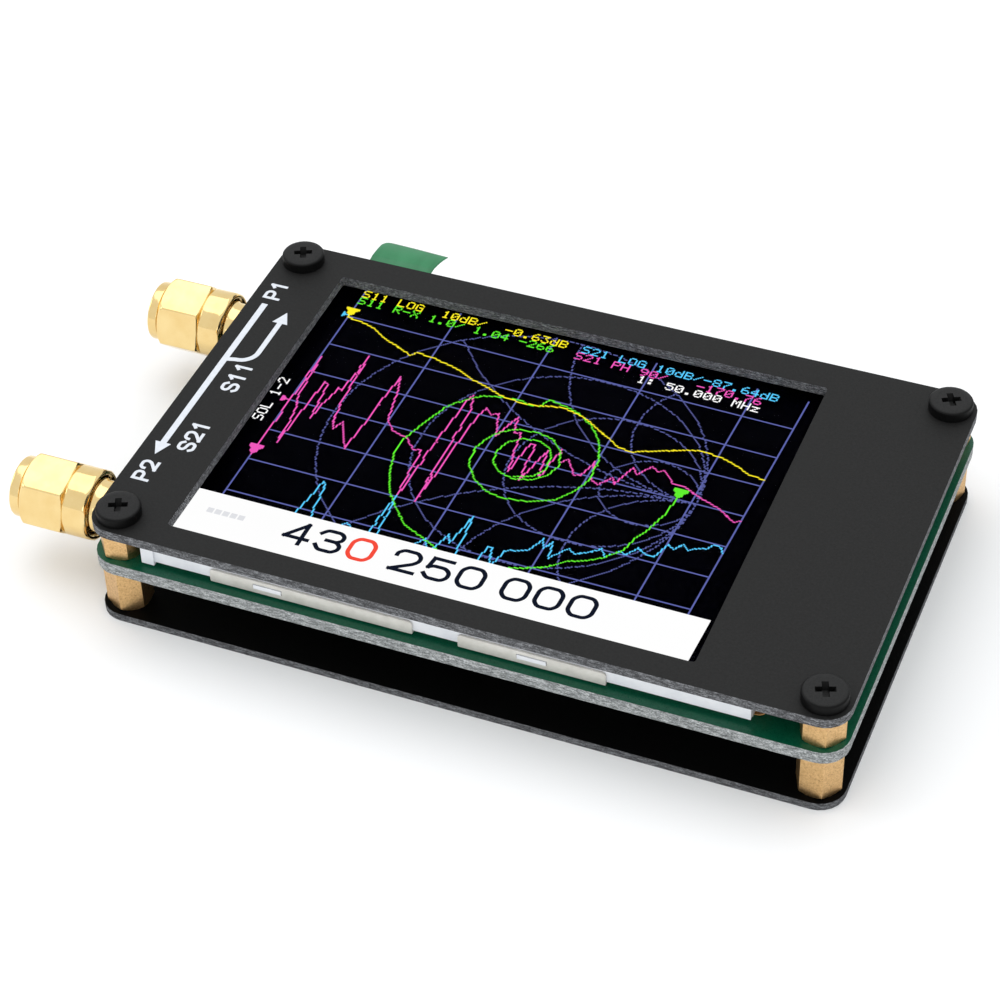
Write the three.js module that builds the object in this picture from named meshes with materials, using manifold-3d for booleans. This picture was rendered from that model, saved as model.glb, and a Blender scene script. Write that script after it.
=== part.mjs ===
// A handheld two-port vector network analyzer: three boards held apart by brass
// standoffs, with a touch display under the window of the front panel, two threaded
// coaxial ports with screw-on caps, and the battery and electronics in the lower gap.
// Millimetres. X runs along the long edge and Y along the short one, +Z is up, and the
// origin is the centre of the back plate's underside.

import * as THREE from 'three';
import { mergeVertices } from 'three/addons/utils/BufferGeometryUtils.js';
import Module from 'manifold-3d';

const wasm = await Module();
wasm.setup();

// ---------------------------------------------------------------- driving dimensions

const BOARD = { length: 85.5, width: 54, corner: 3, holeInset: 3, holeRadius: 1.35 };

// The stack, from the table up
const BACK_PLATE = 1;
const LOWER_GAP = 6;
const MAIN_BOARD = 1.6;
const UPPER_GAP = 3.6;
const FRONT_PANEL = 1.2;
const Z_BACK_TOP = BACK_PLATE;
const Z_BOARD = Z_BACK_TOP + LOWER_GAP;
const Z_BOARD_TOP = Z_BOARD + MAIN_BOARD;
const Z_PANEL = Z_BOARD_TOP + UPPER_GAP;
const Z_PANEL_TOP = Z_PANEL + FRONT_PANEL;

const WINDOW = { left: -34.1, right: 25.9, near: -23.75, far: 22.75, corner: 0.4 };

// M2.5 hardware
const THREAD_RADIUS = 1.2;
const TAPPED_RADIUS = 1.3;
const STANDOFF = { acrossFlats: 4.5, chamfer: 0.3, studLength: 3.2, boreDepth: 4.2 };
const PAN_HEAD = { radius: 2.5, edge: 1.05, height: 1.35, shank: 2.9 };
const CROSS = { reach: 1.5, halfWidth: 0.36, depth: 0.9 };
const FLUSH_HEAD = { radius: 2.2, shank: 3.8, seatClearance: 0.04 };

// Corners are numbered from the near left, anticlockwise seen from above.
// Each standoff stops at its own turn when it is tightened, given in degrees.
const UPPER_TURNS = [8, 53, 20, 35];
const LOWER_TURNS = [31, 53, 10, 44];
const SCREW_TURNS = [23, 20, 26, 24];

// Coaxial ports on the left edge, with 1/4-36 threads
const PORT_Y = [14.6, -19.2];
const PORT_Z = Z_BOARD_TOP + 0.3;
const NOTCH = { depth: 1.7, halfWidth: 3.1 };
const FLANGE = { thickness: 1.6, width: 5, height: 6.1, inset: 0.1 };
const JACK = { radius: 3.175, length: 9.5, relief: 1.9, reliefRadius: 3, mouthRadius: 2.3 };
const JACK_BORE = { radius: 2.06, plane: 7.6, lip: 0.15 };
const LEG = { length: 3.5, width: 0.8, thickness: 0.75, offset: 1.75 };
const INSULATOR_RADIUS = 2.03;
const CONTACT = { radius: 0.62, bore: 0.66, socketRadius: 0.46, socketDepth: 3, tailLength: 3.4 };

// Screw-on cap, measured from its open rim
const CAP = {
  rimFromEdge: 2.3, length: 9.8, acrossFlats: 8, lipRadius: 4.15, lipLength: 2.8,
  shoulder: 0.2, hexEnd: 7.3, collarRadius: 3.55, collarAt: 8.35, grooveRadius: 3.3,
  discAt: 8.6, discRadius: 3.5, boreRadius: 3.3, boreDepth: 8.1, edge: 0.3,
};
const CAP_TURN = 15;
const GASKET = { radius: 3.15, thickness: 0.6, clearance: 0.02 };

// Display module, from the main board up
const MODULE = { left: -36.5, right: 32.6, middle: -0.55, halfWidth: 25, bottom: 8.85 };
const TRAY = {
  left: -35, baseHalf: 24.2, sheet: 0.25, flangeInner: 25.05, flangeTop: 10.55, corner: 0.5,
};
const FLANGES = [
  { left: -28.3, right: -4.7, windowLeft: -23.2 },
  { left: 0.5, right: 17, windowLeft: 7.1 },
];
const SNAP = { length: 3.4, bottom: 9.4, top: 10.1, clearance: 0.08, reach: 25.38 };
const FRAME = { bottom: 9.15, top: 11.25, innerLeft: -35.1, innerRight: 29.7, innerHalf: 24.6 };
const END_BLOCK = { left: -36.6, right: -35.1, inner: 24.98, outer: 25.3, bottom: 8.85, top: 12.05 };
const GUIDE = { bottom: 9.15, top: 10.3 };
const CELL = { bottom: 10.35, top: 11.2, clearance: 0.15 };
const TOUCH = { left: -36.3, right: 32.3, halfWidth: 24.9, bottom: 11.3, top: 12 };
const FILM = { left: -35.6, right: 27, halfWidth: 24.7, bottom: 12.02, thickness: 0.08 };
const TAB = {
  left: -33, right: -25, start: 23.1, thickness: 0.08, lift: 0.005,
  rise: { y: 29, z: 12.4 }, fall: { y: 31, z: 12.15 }, tip: { y: 32.4, z: 11.3 },
};
const FLEX = { thickness: 0.15, top: 11.02, bottom: 8.68, near: -23.7, far: 12, solderEnd: 24 };
const DISPLAY_TAPE = { left: -30, right: 18, halfWidth: 15 };

// Lower gap
const BATTERY = { left: 0, near: -18, length: 38, width: 28, height: 4, corner: 2 };
const BATTERY_TAPE = { thickness: 0.5, margin: 4 };
const LEAD_RADIUS = 0.5;
const LEADS = [
  { colour: 'red', exitX: 34, runY: 11.6, plugOffset: -1 },
  { colour: 'black', exitX: 36.2, runY: 13, plugOffset: 1 },
];
const SHIELD = { left: -36, near: -20, length: 22, width: 36, height: 3, wall: 0.3, corner: 1 };
const CHIPS = {
  mixer_1: { x: -30, y: -13, size: [4, 5, 1.5] },
  mixer_2: { x: -30, y: 10, size: [4, 5, 1.5] },
  mixer_3: { x: -20, y: -2, size: [4, 5, 1.5] },
  microcontroller: { x: -7, y: -12, size: [7, 7, 1.4] },
  audio_codec: { x: -7, y: -1, size: [5, 5, 0.9] },
  clock_generator: { x: -7, y: 7.5, size: [3, 3, 1.1] },
  reference_oscillator: { x: -7, y: 13, size: [3.2, 2.5, 1] },
  charger_chip: { x: 16, y: 15, size: [5, 4, 1.5] },
};

// Controls and connectors on the far edge
const USB = { x: 8, width: 8.94, height: 3.16, wall: 0.3, back: 20.2, front: 27.5, backWall: 1 };
const TONGUE = { width: 6.7, thickness: 0.7, front: 26.7, gap: 0.05 };
const SWITCH = {
  x: 28, length: 9, height: 3.4, back: 22.8, front: 26.8, slotBack: 24, wall: 0.6,
  travel: 2, knobWidth: 2, knobHeight: 1.3, knobTip: 29, footLength: 3.2, footBack: 24.2,
};
const ROCKER = {
  x: -14, length: 10, height: 2.8, back: 21.2, front: 26.4, wall: 0.6, mouth: 7.6,
  cavityBack: 22.5, pivot: 25.3, press: 0.5,
};
const CHEEK = 0.3;
const LEVER = { thickness: 0.6, knuckle: 0.8, arm: 1.2, tip: 29.4, paddle: 3.6, paddleAt: 27.4 };
const PIVOT_PIN = { radius: 0.3, clearance: 0.06 };
const BATTERY_SOCKET = { x: 30, near: 15.4, length: 6.5, depth: 5, height: 3.4, wall: 0.6 };

const ROUND = 32;
const SMALL_ROUND = 18;

// ---------------------------------------------------------------- materials

function material(colour, roughness, metalness) {
  return new THREE.MeshStandardMaterial({ color: colour, roughness, metalness });
}

const MATERIALS = {
  panel: material(0x323231, 0.55, 0),
  board: material(0x0c4a33, 0.4, 0),
  brass: material(0xb08a4c, 0.45, 0.9),
  gold: material(0xe8c478, 0.18, 1),
  blackSteel: material(0x1c1c1c, 0.5, 0.6),
  steel: material(0xb9b8b4, 0.35, 0.9),
  traySteel: material(0xcdc9be, 0.5, 0.4),
  whitePlastic: material(0xe6e6ea, 0.5, 0),
  blackPlastic: material(0x161616, 0.5, 0),
  glass: material(0x08090d, 0.1, 0),
  clearFilm: material(0xdfe6ea, 0.15, 0),
  greenFilm: material(0x4c9b6a, 0.25, 0),
  flex: material(0xb8742a, 0.4, 0),
  foam: material(0x2b2b2b, 0.9, 0),
  ptfe: material(0xf2f1ec, 0.5, 0),
  rubber: material(0x303030, 0.8, 0),
  pouch: material(0xc3c5c8, 0.3, 0.8),
  redWire: material(0xb3221c, 0.5, 0),
  blackWire: material(0x1a1a1a, 0.5, 0),
};

// ---------------------------------------------------------------- solids

// A closed three.js geometry as a solid that can be joined and cut.
function solid(geometry) {
  const bare = geometry.clone();
  bare.deleteAttribute('normal');
  bare.deleteAttribute('uv');
  const merged = mergeVertices(bare, 1e-4);
  const corners = merged.index.array;
  const triangles = [];
  for (let i = 0; i < corners.length; i += 3) {
    const [a, b, c] = corners.slice(i, i + 3);
    if (a !== b && b !== c && c !== a) triangles.push(a, b, c);
  }
  return new wasm.Manifold(new wasm.Mesh({
    numProp: 3,
    vertProperties: merged.attributes.position.array,
    triVerts: new Uint32Array(triangles),
  }));
}

function geometryOf(shape) {
  const { vertProperties, triVerts } = shape.getMesh();
  const geometry = new THREE.BufferGeometry();
  geometry.setAttribute('position', new THREE.BufferAttribute(vertProperties, 3));
  geometry.setIndex(new THREE.BufferAttribute(triVerts, 1));
  return geometry;
}

// A box from its lowest corner to its highest.
function block([x0, y0, z0], [x1, y1, z1]) {
  const geometry = new THREE.BoxGeometry(x1 - x0, y1 - y0, z1 - z0);
  return solid(geometry.translate((x0 + x1) / 2, (y0 + y1) / 2, (z0 + z1) / 2));
}

function rectangle(left, near, right, far, corner) {
  const shape = new THREE.Shape();
  shape.moveTo(left + corner, near);
  shape.lineTo(right - corner, near);
  shape.absarc(right - corner, near + corner, corner, -Math.PI / 2, 0);
  shape.lineTo(right, far - corner);
  shape.absarc(right - corner, far - corner, corner, 0, Math.PI / 2);
  shape.lineTo(left + corner, far);
  shape.absarc(left + corner, far - corner, corner, Math.PI / 2, Math.PI);
  shape.lineTo(left, near + corner);
  shape.absarc(left + corner, near + corner, corner, Math.PI, 1.5 * Math.PI);
  return shape;
}

function extruded(shape, bottom, top, curveSegments = 3) {
  const geometry = new THREE.ExtrudeGeometry(shape, {
    depth: top - bottom, bevelEnabled: false, curveSegments,
  });
  return solid(geometry.translate(0, 0, bottom));
}

// A plate drawn in X and Z, from one Y to another.
function uprightPlate(shape, near, far) {
  const geometry = new THREE.ExtrudeGeometry(shape, {
    depth: far - near, bevelEnabled: false, curveSegments: 4,
  });
  return solid(geometry.rotateX(Math.PI / 2).translate(0, far, 0));
}

// A turned piece about +Z, from its outline of [radius, height] points.
function turned(outline, segments = ROUND) {
  const points = outline.map(([radius, height]) => new THREE.Vector2(radius, height));
  return solid(new THREE.LatheGeometry(points, segments).rotateX(Math.PI / 2));
}

function rod(radius, bottom, top, segments = SMALL_ROUND) {
  return turned([[0, bottom], [radius, bottom], [radius, top], [0, top]], segments);
}

function hexRod(acrossFlats, bottom, top, turn) {
  const corner = acrossFlats / Math.sqrt(3);
  const shape = new THREE.Shape(Array.from({ length: 6 }, (_, i) => {
    const angle = THREE.MathUtils.degToRad(turn + 60 * i);
    return new THREE.Vector2(corner * Math.cos(angle), corner * Math.sin(angle));
  }));
  return extruded(shape, bottom, top);
}

function moved(shape, x, y, z = 0) {
  return shape.translate([x, y, z]);
}

// ---------------------------------------------------------------- assembly

const analyzer = new THREE.Group();

function add(name, shape, finish, group = analyzer) {
  const mesh = new THREE.Mesh(geometryOf(shape), MATERIALS[finish]);
  mesh.name = name;
  group.add(mesh);
}

const holeX = BOARD.length / 2 - BOARD.holeInset;
const holeY = BOARD.width / 2 - BOARD.holeInset;
const CORNERS = [[-holeX, -holeY], [holeX, -holeY], [holeX, holeY], [-holeX, holeY]];

function boardOutline() {
  const x = BOARD.length / 2;
  const y = BOARD.width / 2;
  return rectangle(-x, -y, x, y, BOARD.corner);
}

function drilledBoard(bottom, top) {
  const outline = boardOutline();
  for (const [x, y] of CORNERS) {
    const hole = new THREE.Path();
    for (const from of [2, 1.5, 1, 0.5]) {
      hole.absarc(x, y, BOARD.holeRadius, from * Math.PI, (from - 0.5) * Math.PI, true);
    }
    outline.holes.push(hole);
  }
  return extruded(outline, bottom, top);
}

function addBoards() {
  const { left, right, near, far, corner } = WINDOW;
  const window = extruded(
    rectangle(left, near, right, far, corner), Z_PANEL - 1, Z_PANEL_TOP + 1);
  add('front_panel', drilledBoard(Z_PANEL, Z_PANEL_TOP).subtract(window), 'panel');

  let mainBoard = drilledBoard(Z_BOARD, Z_BOARD_TOP);
  for (const y of PORT_Y) {
    const edge = -BOARD.length / 2;
    mainBoard = mainBoard.subtract(block(
      [edge - 1, y - NOTCH.halfWidth, Z_BOARD - 1],
      [edge + NOTCH.depth, y + NOTCH.halfWidth, Z_BOARD_TOP + 1]));
  }
  add('main_board', mainBoard, 'board');

  // The screws' flush heads sit in cones in the back plate's underside.
  let backPlate = drilledBoard(0, BACK_PLATE);
  const headRadius = FLUSH_HEAD.radius + FLUSH_HEAD.seatClearance;
  for (const [x, y] of CORNERS) {
    const seat = turned([[0, -0.01], [headRadius, -0.01], [0, headRadius]], SMALL_ROUND);
    backPlate = backPlate.subtract(moved(seat, x, y));
  }
  add('back_plate', backPlate, 'panel');
}

// A hexagonal rod whose ends are turned to a light chamfer.
function standoffBody(bottom, top, turn) {
  const { acrossFlats, chamfer } = STANDOFF;
  const full = acrossFlats / Math.sqrt(3);
  const flat = acrossFlats / 2;
  const barrel = turned([
    [0, bottom], [flat, bottom], [full, bottom + chamfer],
    [full, top - chamfer], [flat, top], [0, top],
  ], 24);
  return hexRod(acrossFlats, bottom, top, turn).intersect(barrel);
}

function addStandoffs() {
  CORNERS.forEach(([x, y], i) => {
    const upper = standoffBody(Z_BOARD_TOP, Z_PANEL, UPPER_TURNS[i])
      .subtract(rod(TAPPED_RADIUS, Z_BOARD_TOP - 1, Z_PANEL + 1));
    add(`upper_standoff_${i + 1}`, moved(upper, x, y), 'brass');

    const lower = standoffBody(Z_BACK_TOP, Z_BOARD, LOWER_TURNS[i])
      .add(rod(THREAD_RADIUS, Z_BOARD - 1, Z_BOARD + STANDOFF.studLength))
      .subtract(rod(TAPPED_RADIUS, Z_BACK_TOP - 1, Z_BACK_TOP + STANDOFF.boreDepth));
    add(`lower_standoff_${i + 1}`, moved(lower, x, y), 'brass');
  });
}

// The four-armed driver recess, narrowing towards its bottom.
function crossRecess(top) {
  const { reach, halfWidth, depth } = CROSS;
  const arm = new THREE.BoxGeometry(2 * reach, 2 * halfWidth, 2 * depth);
  const corners = arm.attributes.position;
  for (let i = 0; i < corners.count; i += 1) {
    if (corners.getZ(i) < 0) corners.setX(i, corners.getX(i) * 0.45);
  }
  const across = solid(arm.clone().rotateZ(Math.PI / 2));
  return moved(solid(arm).add(across), 0, 0, top);
}

function addScrews() {
  CORNERS.forEach(([x, y], i) => {
    const { radius, edge, height, shank } = PAN_HEAD;
    const head = turned([
      [0, Z_PANEL_TOP - shank], [THREAD_RADIUS, Z_PANEL_TOP - shank],
      [THREAD_RADIUS, Z_PANEL_TOP], [radius, Z_PANEL_TOP],
      [radius, Z_PANEL_TOP + edge], [radius - 0.08, Z_PANEL_TOP + edge + 0.12],
      [radius - 0.3, Z_PANEL_TOP + height - 0.08], [radius - 0.8, Z_PANEL_TOP + height - 0.02],
      [0, Z_PANEL_TOP + height],
    ]);
    const topScrew = head.subtract(crossRecess(Z_PANEL_TOP + height))
      .rotate([0, 0, SCREW_TURNS[i]]);
    add(`top_screw_${i + 1}`, moved(topScrew, x, y), 'blackSteel');

    const cone = FLUSH_HEAD.radius - THREAD_RADIUS;
    const flush = turned([
      [0, 0], [FLUSH_HEAD.radius, 0], [THREAD_RADIUS, cone],
      [THREAD_RADIUS, cone + FLUSH_HEAD.shank], [0, cone + FLUSH_HEAD.shank],
    ], SMALL_ROUND);
    const recess = crossRecess(0).rotate([180, 0, SCREW_TURNS[i]]);
    add(`bottom_screw_${i + 1}`, moved(flush.subtract(recess), x, y), 'blackSteel');
  });
}

// ---------------------------------------------------------------- display module

// The folded steel flange on one long side, with its snap window.
function trayFlange({ left, right, windowLeft }) {
  const { corner, flangeTop, flangeInner, sheet } = TRAY;
  const outline = new THREE.Shape();
  outline.moveTo(left, MODULE.bottom);
  outline.lineTo(right, MODULE.bottom);
  outline.lineTo(right, flangeTop - corner);
  outline.absarc(right - corner, flangeTop - corner, corner, 0, Math.PI / 2);
  outline.lineTo(left + corner, flangeTop);
  outline.absarc(left + corner, flangeTop - corner, corner, Math.PI / 2, Math.PI);
  outline.holes.push(new THREE.Path([
    new THREE.Vector2(windowLeft, SNAP.bottom),
    new THREE.Vector2(windowLeft, SNAP.top),
    new THREE.Vector2(windowLeft + SNAP.length, SNAP.top),
    new THREE.Vector2(windowLeft + SNAP.length, SNAP.bottom),
  ]));
  return uprightPlate(outline, flangeInner, flangeInner + sheet);
}

function bothSides(shape) {
  return shape.add(shape.mirror([0, 1, 0]));
}

function displayTray() {
  const outer = TRAY.flangeInner + TRAY.sheet;
  let tray = block(
    [TRAY.left, -TRAY.baseHalf, MODULE.bottom],
    [MODULE.right, TRAY.baseHalf, MODULE.bottom + TRAY.sheet]);
  for (const flange of FLANGES) {
    const foot = block(
      [flange.left, TRAY.baseHalf - 1, MODULE.bottom],
      [flange.right, outer, MODULE.bottom + TRAY.sheet]);
    tray = tray.add(bothSides(trayFlange(flange).add(foot)));
  }
  return tray;
}

// The white moulded ring that holds the light guide and the liquid crystal cell.
function displayFrame() {
  const { bottom, top, innerLeft, innerRight, innerHalf } = FRAME;
  let frame = block(
    [MODULE.left, -MODULE.halfWidth, bottom], [MODULE.right, MODULE.halfWidth, top]);
  frame = frame.subtract(block(
    [innerLeft, -innerHalf, bottom - 1], [innerRight, innerHalf, top + 1]));
  const flexWay = block(
    [innerRight - 1, FLEX.near - 0.2, FLEX.top - FLEX.thickness - 0.2],
    [MODULE.right + 1, FLEX.far + 0.2, top + 1]);
  frame = frame.subtract(flexWay);
  for (const { windowLeft } of FLANGES) {
    const { length, clearance, reach } = SNAP;
    frame = frame.add(bothSides(block(
      [windowLeft + clearance, innerHalf, SNAP.bottom + clearance],
      [windowLeft + length - clearance, reach, SNAP.top - clearance])));
  }
  const endBlock = block(
    [END_BLOCK.left, END_BLOCK.inner - 0.4, END_BLOCK.bottom],
    [END_BLOCK.right, END_BLOCK.outer, FRAME.top]);
  const endPost = block(
    [END_BLOCK.left, END_BLOCK.inner, END_BLOCK.bottom],
    [END_BLOCK.right, END_BLOCK.outer, END_BLOCK.top]);
  return frame.add(bothSides(endBlock.add(endPost)));
}

// The ribbon cable leaves the cell, turns round the module's end and runs back under it.
function displayFlex() {
  const { thickness, top, bottom, near, far, solderEnd } = FLEX;
  const bendX = MODULE.right + 0.15;
  const bendZ = (top + bottom) / 2;
  const outer = (top - bottom) / 2;
  const ribbon = new THREE.Shape();
  ribbon.moveTo(solderEnd, bottom);
  ribbon.lineTo(bendX, bottom);
  ribbon.absarc(bendX, bendZ, outer, -Math.PI / 2, Math.PI / 2);
  ribbon.lineTo(FRAME.innerRight + 0.05, top);
  ribbon.lineTo(FRAME.innerRight + 0.05, top - thickness);
  ribbon.lineTo(bendX, top - thickness);
  ribbon.absarc(bendX, bendZ, outer - thickness, Math.PI / 2, -Math.PI / 2, true);
  ribbon.lineTo(solderEnd, bottom + thickness);
  return uprightPlate(ribbon, near, far);
}

// The pull tab is stuck on the far end of the screen's protective film. It runs out under
// the front panel's far edge, rises a little and curls down.
function filmTab() {
  const level = FILM.bottom + FILM.thickness + TAB.lift;
  const route = new THREE.CatmullRomCurve3([
    { y: TAB.start, z: level },
    { y: MODULE.middle + FILM.halfWidth, z: level },
    { y: BOARD.width / 2, z: level + TAB.lift },
    TAB.rise,
    TAB.fall,
    TAB.tip,
  ].map(({ y, z }) => new THREE.Vector3(0, y, z)));
  const underside = route.getPoints(18).map(({ y, z }) => new THREE.Vector2(y, z));
  const topside = underside.map(({ x, y }) => new THREE.Vector2(x, y + TAB.thickness));
  const strip = new THREE.ExtrudeGeometry(
    new THREE.Shape([...underside, ...topside.reverse()]),
    { depth: TAB.right - TAB.left, bevelEnabled: false });
  return solid(strip.rotateX(Math.PI / 2).rotateZ(Math.PI / 2).translate(TAB.left, 0, 0));
}

function addDisplay() {
  const module = new THREE.Group();
  module.position.y = MODULE.middle;
  analyzer.add(module);
  add('display_tray', displayTray(), 'traySteel', module);
  add('display_frame', displayFrame(), 'whitePlastic', module);
  add('display_flex', displayFlex(), 'flex', module);

  const inner = FRAME.innerHalf - CELL.clearance;
  const cellLeft = FRAME.innerLeft + CELL.clearance;
  const cellRight = FRAME.innerRight - CELL.clearance;
  add('light_guide', block(
    [cellLeft, -inner, GUIDE.bottom], [cellRight, inner, GUIDE.top]), 'ptfe', module);
  add('display_cell', block(
    [cellLeft, -inner, CELL.bottom], [cellRight, inner, CELL.top]), 'glass', module);
  add('touch_panel', block(
    [TOUCH.left, -TOUCH.halfWidth, TOUCH.bottom],
    [TOUCH.right, TOUCH.halfWidth, TOUCH.top]), 'glass', module);
  add('screen_film', block(
    [FILM.left, -FILM.halfWidth, FILM.bottom],
    [FILM.right, FILM.halfWidth, FILM.bottom + FILM.thickness]), 'clearFilm', module);
  add('display_tape', block(
    [DISPLAY_TAPE.left, -DISPLAY_TAPE.halfWidth, Z_BOARD_TOP],
    [DISPLAY_TAPE.right, DISPLAY_TAPE.halfWidth, MODULE.bottom]), 'foam', module);
  add('film_tab', filmTab(), 'greenFilm');
}

// ---------------------------------------------------------------- coaxial ports

// In a port's own group +Z points out of the instrument along the jack, +X is up, and
// the origin lies on the outer face of the flange.
function portJack() {
  const { radius, length, relief, reliefRadius, mouthRadius } = JACK;
  const barrel = turned([
    [0, -0.5], [reliefRadius, -0.5], [reliefRadius, relief], [radius, relief + 0.3],
    [radius, length - 0.35], [radius - 0.35, length], [0, length],
  ]);
  let jack = barrel.add(block(
    [-FLANGE.height / 2, -FLANGE.width / 2, -FLANGE.thickness],
    [FLANGE.height / 2, FLANGE.width / 2, 0]));
  // Two legs grip the board from above and two from below, straddling its thickness.
  const boardTop = Z_BOARD_TOP - PORT_Z;
  const boardBottom = Z_BOARD - PORT_Z;
  for (const y of [-LEG.offset, LEG.offset]) {
    for (const bottom of [boardTop + 0.02, boardBottom - 0.02 - LEG.thickness]) {
      jack = jack.add(block(
        [bottom, y - LEG.width / 2, -FLANGE.thickness - LEG.length],
        [bottom + LEG.thickness, y + LEG.width / 2, -FLANGE.thickness + 0.3]));
    }
  }
  return jack
    .subtract(rod(JACK_BORE.radius, -FLANGE.thickness - 1, length + 1))
    .subtract(rod(mouthRadius, JACK_BORE.plane, length + 1));
}

function portInsulator() {
  const bottom = -FLANGE.thickness;
  const top = JACK_BORE.plane - JACK_BORE.lip;
  return rod(INSULATOR_RADIUS, bottom, top)
    .subtract(rod(CONTACT.bore, bottom - 1, top + 1));
}

function portContact() {
  const { radius, socketRadius, socketDepth, tailLength } = CONTACT;
  const top = JACK_BORE.plane - JACK_BORE.lip;
  const tailBottom = Z_BOARD_TOP - PORT_Z + 0.03;
  const slot = block([-1, -0.1, top - socketDepth], [1, 0.1, top + 1]);
  return rod(radius, -FLANGE.thickness + 0.1, top)
    .subtract(rod(socketRadius, top - socketDepth, top + 1, 16))
    .subtract(slot)
    .add(block(
      [tailBottom, -0.4, -tailLength], [tailBottom + 0.45, 0.4, -FLANGE.thickness + 0.4]));
}

// The cap is a hexagon turned down to a round lip at its open end, and rounded towards a
// groove and a disc at its closed end.
function capShell() {
  const corner = CAP.acrossFlats / Math.sqrt(3) + 0.01;
  const { edge, lipRadius, lipLength, shoulder, hexEnd, collarAt, collarRadius } = CAP;
  const outline = [
    [0, 0], [lipRadius - edge, 0], [lipRadius, edge], [lipRadius, lipLength],
    [corner, lipLength + shoulder], [corner, hexEnd],
  ];
  const steps = 3;
  for (let i = 1; i <= steps; i += 1) {
    const angle = (Math.PI / 2) * (i / steps);
    outline.push([
      collarRadius + (corner - collarRadius) * Math.cos(angle),
      hexEnd + (collarAt - hexEnd) * Math.sin(angle),
    ]);
  }
  outline.push(
    [CAP.grooveRadius, collarAt], [CAP.grooveRadius, CAP.discAt],
    [CAP.discRadius - 0.1, CAP.discAt], [CAP.discRadius, CAP.discAt + 0.1],
    [CAP.discRadius, CAP.length - edge], [CAP.discRadius - edge, CAP.length],
    [0, CAP.length]);
  const blank = turned(outline, 36).intersect(
    hexRod(CAP.acrossFlats, -1, CAP.discAt - 0.05, CAP_TURN)
      .add(rod(CAP.discRadius + 1, CAP.collarAt + 0.05, CAP.length + 1)));
  const bore = turned([
    [0, -1], [CAP.boreRadius + edge, -1], [CAP.boreRadius + edge, 0],
    [CAP.boreRadius, edge], [CAP.boreRadius, CAP.boreDepth], [0, CAP.boreDepth],
  ]);
  return blank.subtract(bore);
}

function addPorts() {
  PORT_Y.forEach((y, i) => {
    const port = new THREE.Group();
    port.position.set(-BOARD.length / 2 + FLANGE.inset, y, PORT_Z);
    port.rotation.y = -Math.PI / 2;
    analyzer.add(port);
    add(`port_jack_${i + 1}`, portJack(), 'gold', port);
    add(`port_insulator_${i + 1}`, portInsulator(), 'ptfe', port);
    add(`port_contact_${i + 1}`, portContact(), 'gold', port);

    const cap = new THREE.Group();
    cap.position.z = CAP.rimFromEdge;
    port.add(cap);
    add(`cap_shell_${i + 1}`, capShell(), 'gold', cap);
    const seat = CAP.boreDepth - GASKET.clearance;
    add(`cap_gasket_${i + 1}`, rod(
      GASKET.radius, seat - GASKET.thickness, seat, ROUND), 'rubber', cap);
  });
}

// ---------------------------------------------------------------- battery

function lead(points) {
  const route = new THREE.CatmullRomCurve3(points.map((p) => new THREE.Vector3(...p)));
  const section = new THREE.Shape().absarc(0, 0, LEAD_RADIUS, 0, 2 * Math.PI);
  return solid(new THREE.ExtrudeGeometry(section, {
    steps: 16, curveSegments: 4, bevelEnabled: false, extrudePath: route,
  }));
}

function addBattery() {
  const { left, near, length, width, height, corner } = BATTERY;
  const margin = BATTERY_TAPE.margin;
  const bottom = Z_BACK_TOP + BATTERY_TAPE.thickness;
  add('battery_tape', block(
    [left + margin, near + margin, Z_BACK_TOP],
    [left + length - margin, near + width - margin, bottom]), 'foam');
  add('battery_cell', extruded(
    rectangle(left, near, left + length, near + width, corner),
    bottom, bottom + height), 'pouch');

  // The socket opens towards the battery, and the plug fills it up to its mouth.
  const socket = BATTERY_SOCKET;
  const low = Z_BOARD - socket.height;
  const half = socket.length / 2;
  const shell = block(
    [socket.x - half, socket.near, low], [socket.x + half, socket.near + socket.depth, Z_BOARD]);
  const hollow = block(
    [socket.x - half + socket.wall, socket.near - 1, low + socket.wall],
    [socket.x + half - socket.wall, socket.near + socket.depth - 1, Z_BOARD - socket.wall]);
  add('battery_socket', shell.subtract(hollow), 'whitePlastic');
  const fit = socket.wall + 0.06;
  const plugNear = socket.near - 1;
  add('battery_plug', block(
    [socket.x - half + fit, plugNear, low + fit],
    [socket.x + half - fit, socket.near + socket.depth - 1.3, Z_BOARD - fit]), 'whitePlastic');

  // The two leads run side by side along the battery's edge before they turn to the plug.
  const farEdge = near + width;
  const plugZ = low + socket.height / 2;
  for (const { colour, exitX, runY, plugOffset } of LEADS) {
    const plugX = socket.x + plugOffset;
    add(`battery_lead_${colour}`, lead([
      [exitX, farEdge + 0.05, 4.4],
      [exitX - 0.1, farEdge + 0.8, 4.4],
      [(exitX + plugX) / 2, runY, 4.6],
      [plugX + 0.1, plugNear - 0.6, plugZ],
      [plugX, plugNear - 0.05, plugZ],
    ]), `${colour}Wire`);
  }
}

// ---------------------------------------------------------------- electronics

function addElectronics() {
  const { left, near, length, width, height, wall, corner } = SHIELD;
  const low = Z_BOARD - height;
  const can = extruded(
    rectangle(left, near, left + length, near + width, corner), low, Z_BOARD, 2);
  const inside = extruded(rectangle(
    left + wall, near + wall, left + length - wall, near + width - wall, corner - wall),
  low + wall, Z_BOARD + 1, 2);
  add('shield_can', can.subtract(inside), 'steel');

  for (const [name, { x, y, size: [sx, sy, sz] }] of Object.entries(CHIPS)) {
    add(name, block(
      [x - sx / 2, y - sy / 2, Z_BOARD - sz], [x + sx / 2, y + sy / 2, Z_BOARD]),
    name === 'reference_oscillator' ? 'steel' : 'blackPlastic');
  }
}

// ---------------------------------------------------------------- far edge

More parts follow.
